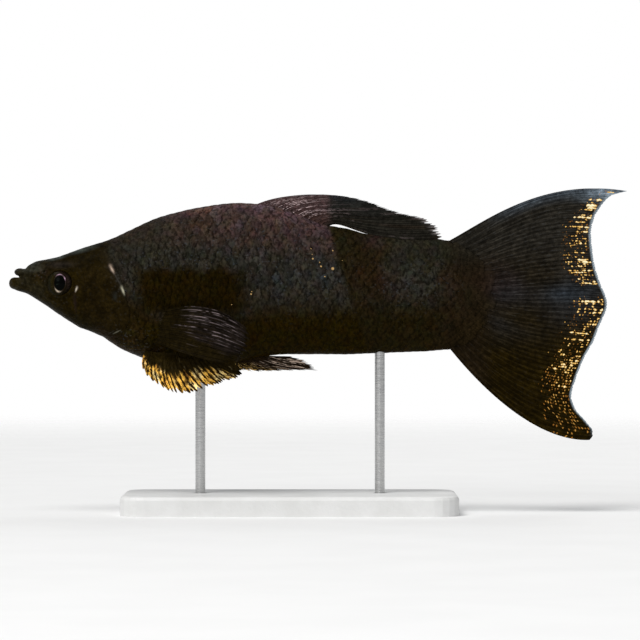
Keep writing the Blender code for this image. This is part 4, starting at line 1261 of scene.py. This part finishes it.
def make_fin(name, fin, look, side, node, rows, cols, count, first=0.3, second=0.55, seed=1,
             root_thick=0.5, ray_thick=(0.30, 0.10), ray_wide=(0.34, 0.14), web=0.05, edge_ray=0.0,
             fray=0.02, tears=0.0, ripple=0.0, pleat=0.06, colours=None, band=None, pale=None,
             edge=(0.1, 0.1, 0.1), glint=None, dots=None, spread=0.45, limit=None):
    """A closed thin web with rounded branching rays standing out of it. tears
    is how far the web draws back between main rays, fray between branches."""
    s0 = np.linspace(0, 1, rows + 1) ** 0.92
    t0 = np.linspace(0, 1, cols + 1)
    s, t = np.meshgrid(s0, t0, indexing="ij")
    gap, index, off, lane = branching(s, t, count, first, second, seed, spread=spread)
    line = fin.at(s, t)
    step = np.linalg.norm(np.diff(line, axis=1), axis=-1)
    span = np.concatenate([step, step[:, -1:]], 1) * cols / count     # width of one main ray's share
    wide = ray_wide[0] + (ray_wide[1] - ray_wide[0]) * s**0.8
    rib = np.clip(1 - (gap * span / (wide / 2)) ** 2, 0, 1) ** 0.7
    # ray tips reach furthest, the web between them draws back
    rim_gap, rim_index, rim_off, _ = branching(np.ones_like(t0), t0, count, first, second, seed, spread=spread)
    r = np.random.default_rng(seed + 50)
    reach = r.uniform(0.15, 1.0, count + 1)
    side_gap = reach[rim_index] * (1 - np.abs(rim_off)) + reach[np.clip(rim_index + np.sign(rim_off).astype(int), 0, count)] * np.abs(rim_off)
    branch = r.uniform(0.5, 1.0, count * 4 + 4)[np.clip((t0 * count * 4).astype(int), 0, count * 4 + 3)]
    length = fin.length(t0)
    draw = (fray * np.clip(rim_gap / 0.10, 0, 1) ** 1.5 * branch + tears * np.clip((np.abs(rim_off) - 0.22) / 0.28, 0, 1) ** 1.7 * side_gap)
    draw = draw + 0.3 * tears * (1 - reach[rim_index])
    draw = np.minimum(draw / np.maximum(length, 1e-6), 0.5) * ease(0, 0.012, t0) * ease(1, 0.988, t0)
    s = s * (1 - draw[None, :])
    plan = fin.at(s, t)
    y = side(plan[..., 0], plan[..., 1], s, t)
    if ripple:
        y = y + ripple * ease(0.1, 0.9, s) * waves(seed + 5, s * 1.4, t * 2.4, octaves=6)
    centre = np.stack([plan[..., 0], y, plan[..., 1]], -1)
    normal = unit(np.cross(np.gradient(centre, axis=0), np.gradient(centre, axis=1)))
    tall = ray_thick[0] + (ray_thick[1] - ray_thick[0]) * s**0.7
    thick = web + root_thick * np.exp(-s / 0.045) + tall * rib
    if edge_ray:
        for at in (0.0, 1.0):
            thick = thick + edge_ray * (1 - 0.75 * s) * np.exp(-((t - at) * span * count / 0.35) ** 2)
    thick = thick * (0.30 + 0.70 * ease(1.0, 0.97, s / np.maximum(1 - draw[None, :], 1e-6)))
    fold = pleat * ease(0.1, 0.5, s) * np.cos(off * 2 * math.pi)     # the web folds a little between rays
    left = centre + normal * (thick / 2 + fold)[..., None]
    right = centre - normal * (thick / 2 - fold)[..., None]
    n, m = rows + 1, cols + 1
    points = np.concatenate([left.reshape(-1, 3), right.reshape(-1, 3)])
    if limit is not None:
        points = np.clip(points, limit[0], limit[1])
    quads = [grid_faces(n, m), grid_faces(n, m)[:, ::-1] + n * m]
    border = np.concatenate([np.arange(m), np.arange(1, n) * m + m - 1,
                             np.arange(m - 2, -1, -1) + (n - 1) * m, np.arange(n - 2, 0, -1) * m])
    nxt = np.roll(border, -1)
    quads.append(np.stack([border, border + n * m, nxt + n * m, nxt], -1))
    mesh = build_mesh(name, points, np.concatenate(quads))
    bm = bmesh.new()
    bm.from_mesh(mesh)
    bmesh.ops.recalc_face_normals(bm, faces=bm.faces)
    bm.to_mesh(mesh)
    bm.free()

    def both(values):
        values = np.broadcast_to(values, s.shape + np.shape(values)[2:]) if np.ndim(values) >= 2 else np.full(s.shape, values)
        flat_ = values.reshape(s.size, -1)
        flat_ = np.concatenate([flat_, flat_])
        return flat_[:, 0] if flat_.shape[1] == 1 else flat_

    def paint(attribute, rgb):
        rgb = np.broadcast_to(np.asarray(rgb, float), s.shape + (3,))
        set_point(mesh, attribute, both(np.concatenate([rgb, np.ones(s.shape + (1,))], -1)))

    web_rgb, bone_rgb = colours(s, t, plan)
    paint("Web", web_rgb)
    paint("Bone", bone_rgb)
    paint("Edge", edge(s, t, plan) if callable(edge) else edge)
    set_point(mesh, "Ray", both(rib))
    set_point(mesh, "Lane", both(lane))
    set_point(mesh, "Band", both(band(s, t, plan) if band else 0.0))
    set_point(mesh, "Dots", both(dots(s, t, plan) if dots else 0.0))
    set_point(mesh, "Glint", both(glint(s, t, plan) if glint else 1.0))
    set_point(mesh, "Pale", both(np.clip(pale(s, t, plan, rib), 0, 1) if pale else 0.0))
    flat = np.stack([s.ravel(), t.ravel()], -1)
    set_uv(mesh, "OFBake", np.concatenate([flat * [0.96, 0.47] + [0.02, 0.01], flat * [0.96, 0.47] + [0.02, 0.51]]))
    set_uv(mesh, "Fin", np.concatenate([flat, flat]))
    obj = add_object(mesh, name, look)
    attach(obj, "root")
    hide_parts(node)
    return obj


def blend(shares):
    """Colours laid over one another: first the ground, then (colour, share)."""
    ground, *rest = shares
    rgb = np.asarray(ground, float)
    for over, share in rest:
        share = np.clip(share, 0, 1)[..., None]
        rgb = rgb * (1 - share) + np.asarray(over, float) * share
    return rgb


def middle(x, z, s, t):
    return 0.0 * s


def pectoral_side(sign):
    def side(x, z, s, t):
        leave = float(flank(23.4, -5.8)) + 0.95 + 3.1 * s - 0.75 * s * s
        out = np.maximum(leave, flank(x, z) + 0.95 + 0.5 * s)
        root = flank(x, z) - 0.45
        return sign * (root + (out - root) * ease(0.0, 0.30, s))
    return side


def pelvic_side(sign):
    def side(x, z, s, t):
        leave = float(flank(24.5, -10.5)) + 0.95 + 2.7 * s * (1 - 0.35 * t)
        out = np.maximum(leave, flank(x, z) + 0.95)
        root = flank(x, z) - 0.45
        return sign * (root + (out - root) * ease(0.0, 0.32, s))
    return side


def tail_band(s, t, plan):
    """How thick the tail's gold flecks lie: a band inside the rear margin."""
    x, z = plan[..., 0], plan[..., 1]
    inward = (1 - s) * TAIL.length(t)
    level = [-24.3, -21.8, -18.6, -15.8, -13.8, -11.5, -9.0, -6.6, -4.2, -2.4, -1.5, -0.9, 0.3, 0.9, 3.2, 5.7, 8.0, 10.5, 12.2, 13.8, 15.2]
    inner = np.interp(z, level, [90.8, 89.0, 87.2, 86.5, 86.2, 87.0, 88.6, 89.6, 90.6, 91.2, 91.4, 91.4, 92.6, 91.4, 90.2, 89.6, 90.0, 90.0, 91.2, 93.0, 94.2])
    full = np.interp(z, level, [0.08, 0.14, 0.34, 0.52, 0.62, 0.66, 0.66, 0.68, 0.70, 0.84, 0.86, 0.02, 0.04, 0.92, 0.90, 0.88, 0.88, 0.84, 0.86, 0.92, 0.50])
    core = 0.30 + 0.70 * bump(x, inner + 2.6, 2.6) + 0.25 * ease(2.5, 0.8, inward)
    return full * np.clip(core, 0, 1.1) * ease(-1.4, 0.9, x - inner) * ease(0.25, 0.5, inward)


def tail_dots(s, t, plan):
    """Where rows of small gold dots lie: thin over the band, thick low down."""
    x, z = plan[..., 0], plan[..., 1]
    inward = (1 - s) * TAIL.length(t)
    low = ease(-11.0, -16.5, z) * ease(85.6, 87.4, x + 0.65 * (z + 20) * (z < -20) + 0.05 * (z + 20) * (z >= -20)) * ease(0.4, 0.9, inward)
    return 0.50 * low * (1 - 0.15 * ease(-19, -23, z)) + 0.12 * np.clip(tail_band(s, t, plan), 0, 1)


def tail_ground(x, z):
    """The tail web's colours by place, without its edges."""
    blotch = waves(71, x / 9, z / 8, octaves=7)
    return blend([(0.0092, 0.0070, 0.0040), ((0.0078, 0.0047, 0.0004), ease(-1, -7, z)),
                  ((0.0124, 0.0112, 0.0090), 0.8 * ease(2, 9, z)),
                  ((0.0098, 0.0062, 0.0030), 0.8 * ease(79.5, 75.0, x) * ease(6, 2, z)),
                  ((0.0150, 0.0066, 0.0056), 0.55 * bump(x, 79.5, 4.5) * bump(z, 0.4, 3.4) * ease(-0.8, 0.4, blotch)),
                  ((0.0112, 0.0122, 0.0136), 0.75 * bump(z, -2.2 + 0.14 * (x - 84), 4.6) * ease(76, 80, x) * ease(-0.7, 0.4, blotch)),
                  ((0.0150, 0.0190, 0.0240), 0.8 * bump(x, 90.0, 3.6) * bump(z, -0.6, 1.5))]) * 1.2


def tail_fan(x, z):
    """Where on the tail's fan of rays a point near its root lies."""
    t = np.clip(np.interp(-z, [-7.85, -6.1, 0.85, 7.8, 9.5], [0, 0.12, 0.5, 0.88, 1]), 0, 1)
    s = np.zeros_like(t)
    for _ in range(6):
        here, ds, dt = TAIL.at(s, t), TAIL.at(s + 1e-3, t), TAIL.at(s, np.clip(t + 1e-3, 0, 1.001))
        a, b = (ds - here) / 1e-3, (dt - here) / 1e-3
        off = np.stack([x, z], -1) - here
        det = a[..., 0] * b[..., 1] - a[..., 1] * b[..., 0]
        det = np.where(np.abs(det) < 1e-3, 1e-3, det)
        s = np.clip(s + (off[..., 0] * b[..., 1] - off[..., 1] * b[..., 0]) / det, -0.35, 0.6)
        t = np.clip(t + (a[..., 0] * off[..., 1] - a[..., 1] * off[..., 0]) / det, 0, 1)
    return s, t


def tail_colours(s, t, plan):
    x, z = plan[..., 0], plan[..., 1]
    web = blend([tail_ground(x, z),
                 ((0.050, 0.062, 0.075), 0.80 * ease(0.080, 0.015, t) * ease(0.25, 0.60, s)),
                 ((0.17, 0.215, 0.26), 0.85 * ease(0.085, 0.02, t) * ease(0.80, 0.97, s))])
    # ray and web differ little at the root and more towards the rim
    differ = (0.25 + 0.75 * ease(0.0, 0.45, s))[..., None]
    bone = web * (1 + 0.42 * differ) + 0.0006
    return web * (1 - 0.12 * differ), bone


def tail_pale(s, t, plan, rib):
    inward = (1 - s) * TAIL.length(t)
    return 0.9 * ease(0.36, 0.14, inward) * ease(0.0, 0.04, t) * ease(1.0, 0.95, t)


def dorsal_colours(s, t, plan):
    x, z = plan[..., 0], plan[..., 1]
    front = 1 - ease(50.9, 52.8, x + 0.5 * waves(33, t * 6, s * 3))
    web = blend([(0.0128, 0.0130, 0.0116), ((0.0600, 0.0340, 0.0335), 0.92 * front * ease(11.8, 13.0, z)), ((0.0450, 0.0240, 0.0205), 0.92 * front * ease(13.0, 11.8, z)),
                 ((0.0112, 0.0098, 0.0070), 0.8 * ease(0.45, 0.9, t) * (1 - front)),
                 ((0.0140, 0.0185, 0.0235), 0.85 * ease(0.50, 0.1, t) * (1 - front)),
                 ((0.0430, 0.0490, 0.0560), 0.65 * ease(0.14, 0.02, t) * ease(0.5, 0.75, s))])
    web = blend([web, ((0.0165, 0.0105, 0.0062), 0.45 * ease(0.1, 0.8, waves(34, s * 2.2, t * 15, octaves=8)) * (1 - front))])
    differ = ((0.10 + 0.70 * ease(0.25, 0.55, s)) * (1 - 0.6 * front))[..., None]
    return web * (1 - 0.16 * differ), web * (1 + 0.42 * differ) + 0.0006


def dorsal_pale(s, t, plan, rib):
    fringe = ease(0.95, 1.0, s) * ease(0.45, 0.7, t) * ease(-0.2, 0.5, waves(32, s * 3, t * 40))
    return 0.75 * fringe


def dorsal_glint(s, t, plan):
    """Short pale dashes, thickest on the front of the fin."""
    x, z = plan[..., 0], plan[..., 1]
    return 0.95 * bump(x, 46.8, 4.8) * ease(11.2, 12.4, z) * (1 - 0.35 * ease(14.0, 15.0, z)) + 0.20 * ease(51, 53, x) * (1 - 0.7 * ease(0.85, 0.97, t)) * ease(0.1, 0.7, waves(35, s * 4, t * 7, octaves=9))


def pectoral_upper(plan):
    """1 on the fin's upper part, 0 below a line that leans down to the rear."""
    x, z = plan[..., 0], plan[..., 1]
    return ease(-0.7, 0.5, z + 6.9 + 0.43 * (x - 28.6) + 0.5 * waves(94, x / 2.5, z / 1.5))


def pectoral_colours(s, t, plan):
    shown = ease(0.26, 0.50, s) * pectoral_upper(plan)
    web = blend([(0.0082, 0.0054, 0.0012), ((0.0090, 0.0060, 0.0034), shown)])
    bone = blend([(0.0084, 0.0056, 0.0016), ((0.0112, 0.0082, 0.0070), shown)])
    return web, bone


def pectoral_glint(s, t, plan):
    """The glints lie on the outer part, strongest on the upper rays."""
    start = 0.30 + 0.10 * waves(93, t * 9, 0.0 * s, octaves=9)
    return 0.78 * (ease(-0.07, 0.10, s - start) * (1 - 0.45 * ease(0.45, 0.95, t)) * (1 - 0.75 * ease(0.74, 0.98, s))
            * (0.35 + 0.65 * ease(-0.4, 0.5, waves(92, t * 5, s * 2.5, octaves=9))) * (0.18 + 0.82 * pectoral_upper(plan)))


def pelvic_colours(s, t, plan):
    """Yellow web between dark rays; the root half is as dark as the belly."""
    edge = 0.40 + 0.15 * ease(0, 0.4, t) + 0.12 * ease(0.6, 1, t) + 0.50 * ease(0.82, 0.97, t) + 0.10 * waves(83, t * 20, s * 1.0, octaves=8)
    dark = ease(edge + 0.07, edge - 0.07, s)
    hue = waves(81, s * 2.2, t * 11, octaves=7)
    soil = ease(0.18, 0.75, waves(84, s * 6, t * 17, octaves=9))
    web = blend([(0.90, 0.50, 0.080), ((1.0, 0.76, 0.32), ease(0.1, 0.9, hue + 0.5 * ease(0.5, 0.9, t))), ((0.55, 0.24, 0.04), ease(-0.3, -1.0, hue) + 0.5 * ease(0.10, 0.0, t)),
                 ((0.06, 0.03, 0.008), 0.8 * soil), ((0.0125, 0.0082, 0.0016), dark)])
    bone = blend([(0.024, 0.0110, 0.0030), ((0.62, 0.32, 0.05), 0.55 * ease(0.35, 0.95, waves(82, s * 5, t * 17, octaves=9))),
                  ((0.0130, 0.0084, 0.0018), dark)])
    # a few pale dashes on the dark part
    dash = ease(0.62, 1.0, waves(85, s * 5, t * 22, octaves=9)) * dark * ease(0.1, 0.25, s)
    return web, blend([bone, ((0.13, 0.10, 0.05), 0.7 * dash)])


def anal_colours(s, t, plan):
    """Dark; its shine is yellow low down and pinkish white above."""
    shown = ease(0.12, 0.34, s)
    gold = ease(0.25, 0.75, waves(41, s * 1.6, t * 19, octaves=9)) * shown
    web = blend([(0.0105, 0.0056, 0.0020), ((0.62, 0.36, 0.09), 0.8 * gold * ease(0.70, 0.35, t))])
    return web, blend([(0.0100, 0.0062, 0.0030), ((0.10, 0.060, 0.040), 0.6 * gold)])


def anal_shine(s, t, plan):
    return blend([(0.86, 0.66, 0.53), ((0.95, 0.62, 0.20), ease(0.60, 0.30, t))])


# ===================================================================== stage
def stage():
    floor_look = Look("pale_floor")
    spot = floor_look.node("TexCoord", out="Object")
    far = floor_look.node("VectorMath", {0: spot}, operation="LENGTH", out="Value")
    soft = floor_look.noise(spot, 60, 3, 0.5)
    floor_look.set(Base_Color=floor_look.mix(floor_look.ramp(soft, 0.3, 0.7), (0.86, 0.86, 0.86), (0.88, 0.88, 0.88)),
                   Roughness=0.7, Specular_IOR_Level=0.2)
    floor_look.set(Alpha=floor_look.ramp(far, 0.30, 0.62, 1.0, 0.0))
    bm = bmesh.new()
    bmesh.ops.create_circle(bm, cap_ends=True, segments=96, radius=0.7)
    mesh = bpy.data.meshes.new("floor")
    bm.to_mesh(mesh)
    bm.free()
    mesh.materials.append(floor_look.material)
    floor = bpy.data.objects.new("floor", mesh)
    bpy.context.scene.collection.objects.link(floor)

    world = bpy.data.worlds.new("studio")
    bpy.context.scene.world = world
    world.use_nodes = True
    tree = world.node_tree
    tree.nodes.clear()
    out = tree.nodes.new("ShaderNodeOutputWorld")
    seen, lit, mixer = (tree.nodes.new("ShaderNode" + k) for k in ("Background", "Background", "MixShader"))
    path = tree.nodes.new("ShaderNodeLightPath")
    seen.inputs[0].default_value, seen.inputs[1].default_value = (1, 1, 1, 1), 1.0
    lit.inputs[0].default_value, lit.inputs[1].default_value = (0.96, 0.98, 1, 1), 0.34
    tree.links.new(path.outputs["Is Camera Ray"], mixer.inputs[0])
    tree.links.new(lit.outputs[0], mixer.inputs[1])
    tree.links.new(seen.outputs[0], mixer.inputs[2])
    tree.links.new(mixer.outputs[0], out.inputs[0])

    def lamp(name, place, aim, size, power, colour=(1, 1, 1)):
        data = bpy.data.lights.new(name, "AREA")
        data.shape, data.size, data.size_y = "RECTANGLE", size[0], size[1]
        data.energy, data.color = power, colour
        obj = bpy.data.objects.new(name, data)
        obj.location = place
        obj.rotation_euler = (Vector(aim) - Vector(place)).to_track_quat("-Z", "Y").to_euler()
        bpy.context.scene.collection.objects.link(obj)

    sun = bpy.data.lights.new("sky_panel", "SUN")
    sun.energy, sun.angle, sun.color = 2.05, math.radians(34), (1.0, 0.99, 0.97)
    obj = bpy.data.objects.new("sky_panel", sun)
    obj.rotation_euler = Vector((0.34, 0.42, -1.0)).to_track_quat("-Z", "Y").to_euler()
    bpy.context.scene.collection.objects.link(obj)
    lamp("key", (-0.24, -0.50, 0.30), (0, 0, 0.035), (0.26, 0.22), 0.9)
    lamp("rear", (0.22, 0.40, 0.50), (0, 0, 0.03), (0.40, 0.30), 0.5)

    camera = bpy.data.cameras.new("camera")
    camera.lens, camera.sensor_width = 200.0, 36.0
    camera.clip_start, camera.clip_end = 0.01, 20.0
    obj = bpy.data.objects.new("camera", camera)
    obj.location = (0.00034, -0.5748, 0.03115)
    obj.rotation_euler = (math.radians(90), 0, 0)
    bpy.context.scene.collection.objects.link(obj)
    bpy.context.scene.camera = obj
    bpy.context.scene.view_settings.view_transform = "Standard"


def stand_looks():
    m = Look("stand_coat")
    place = m.place()
    peel = m.noise(place, 1500, 2, 0.5)
    wear = m.noise(place, 160, 4, 0.6)
    m.set(Base_Color=m.mix(m.ramp(wear, 0.35, 0.7), (0.70, 0.70, 0.69), (0.76, 0.76, 0.755)),
          Roughness=m.ramp(wear, 0.3, 0.7, 0.32, 0.46), Specular_IOR_Level=0.45)
    m.bumps((peel, 0.25, 0.0002), (m.noise(place, 9000, 1, 0.5), 0.15, 0.00003))
    coat = m.material
    m = Look("stand_steel")
    fine = m.noise(m.place((1, 1, 0.02)), 9000, 2, 0.5)
    turn = m.noise(m.place((0.05, 0.05, 1)), 12000, 2, 0.6)
    m.set(Base_Color=m.mix(m.ramp(turn, 0.3, 0.7), (0.52, 0.52, 0.52), (0.66, 0.66, 0.65)), Metallic=1.0,
          Roughness=m.ramp(turn, 0.3, 0.7, 0.22, 0.38))
    m.bumps((turn, 0.20, 0.00003), (fine, 0.08, 0.00003))
    steel = m.material
    for name, look in (("stand_base", coat), ("stand_rod_front", steel), ("stand_rod_rear", steel)):
        obj = bpy.data.objects[name] if name in bpy.data.objects else None
        for slot in obj.material_slots:
            slot.material = look
        obj.data.shade_smooth()
        obj.data.set_sharp_from_angle(angle=math.radians(40))


def main():
    skin_material, scale_material = skin_look(), scale_look()
    skin = make_skin(skin_material)
    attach(skin, "root")
    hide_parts("head", "upper_jaw", "lower_jaw", "trunk", "tail_stalk")
    for side in (-1, 1):
        for rear_half in (False, True):
            coat = make_scales(side, rear_half, scale_material)
            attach(coat, "root")
    look = eye_look()
    for side, node in ((-1, "eye_left"), (1, "eye_right")):
        eye = make_eye(side, look)
        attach(eye, "root")
        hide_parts(node)

    tail_look = fin_look("tail_web", gold=True, streaks=0.28, glint_colour=(0.055, 0.058, 0.060))
    back_look = fin_look("back_fin_web", lines=0.95, dash=22.0, picked=(0.30, 0.62), glint_colour=(0.78, 0.60, 0.60))
    side_look = fin_look("side_fin_web", lines=0.95, glint_colour=(0.26, 0.205, 0.210), gloss=0.014, dash=9.0, picked=(0.42, 0.80), every=0.80)
    gold_look = fin_look("gold_web", soil=True)
    trail_look = fin_look("trailing_fin_web", lines=1.0, glint_colour=None, gloss=0.03, picked=(0.22, 0.55))
    make_fin("tail_web", TAIL, tail_look, middle, "tail_fin", 96, 500, 25, first=0.0, second=0.42, seed=4,
             root_thick=0.70, ray_thick=(0.20, 0.07), ray_wide=(0.36, 0.26), edge_ray=0.28, fray=0.08, tears=0.12,
             ripple=0.22, pleat=0.012, spread=0.60, colours=tail_colours, band=tail_band, pale=tail_pale,
             edge=(0.42, 0.50, 0.56), limit=((0, -9, -24.5), (99.99, 9, 16.42)),
             dots=tail_dots, glint=lambda s, t, plan: 1 - 0.75 * ease(-2.0, -8.0, plan[..., 1]))
    make_fin("dorsal_web", DORSAL, back_look, middle, "dorsal_fin", 100, 252, 14, first=0.18, second=0.50, seed=8,
             root_thick=0.30, ray_thick=(0.17, 0.08), ray_wide=(0.32, 0.20), fray=0.40, tears=0.45, ripple=0.12,
             pleat=0.03, colours=dorsal_colours, pale=dorsal_pale, glint=dorsal_glint, edge=(0.46, 0.41, 0.41))
    for sign, side in ((-1, "left"), (1, "right")):
        make_fin("pectoral_web_" + side, PECTORAL, side_look, pectoral_side(sign), "pectoral_fin_" + side,
                 90, 240, 10, first=0.30, second=0.55, seed=12, root_thick=0.35, ray_thick=(0.24, 0.09),
                 ray_wide=(0.22, 0.14), fray=0.9, tears=2.6, ripple=0.14, pleat=0.08, colours=pectoral_colours,
                 glint=pectoral_glint)
        make_fin("pelvic_web_" + side, PELVIC, gold_look, pelvic_side(sign), "pelvic_fin_" + side,
                 80, 200, 5, first=0.0, second=0.08, seed=15, root_thick=0.3, ray_thick=(0.26, 0.12),
                 ray_wide=(0.44, 0.44), fray=1.0, tears=1.1, ripple=0.16, pleat=0.04, colours=pelvic_colours)
    make_fin("anal_web", ANAL, trail_look, middle, "anal_fin", 76, 200, 10, first=0.20, second=0.50, seed=19,
             root_thick=0.35, ray_thick=(0.24, 0.09), ray_wide=(0.20, 0.13), fray=0.9, tears=1.8, ripple=0.12, pleat=0.05,
             colours=anal_colours, edge=anal_shine, glint=lambda s, t, plan: ease(0.10, 0.30, s))

    stand_looks()
    stage()


main()
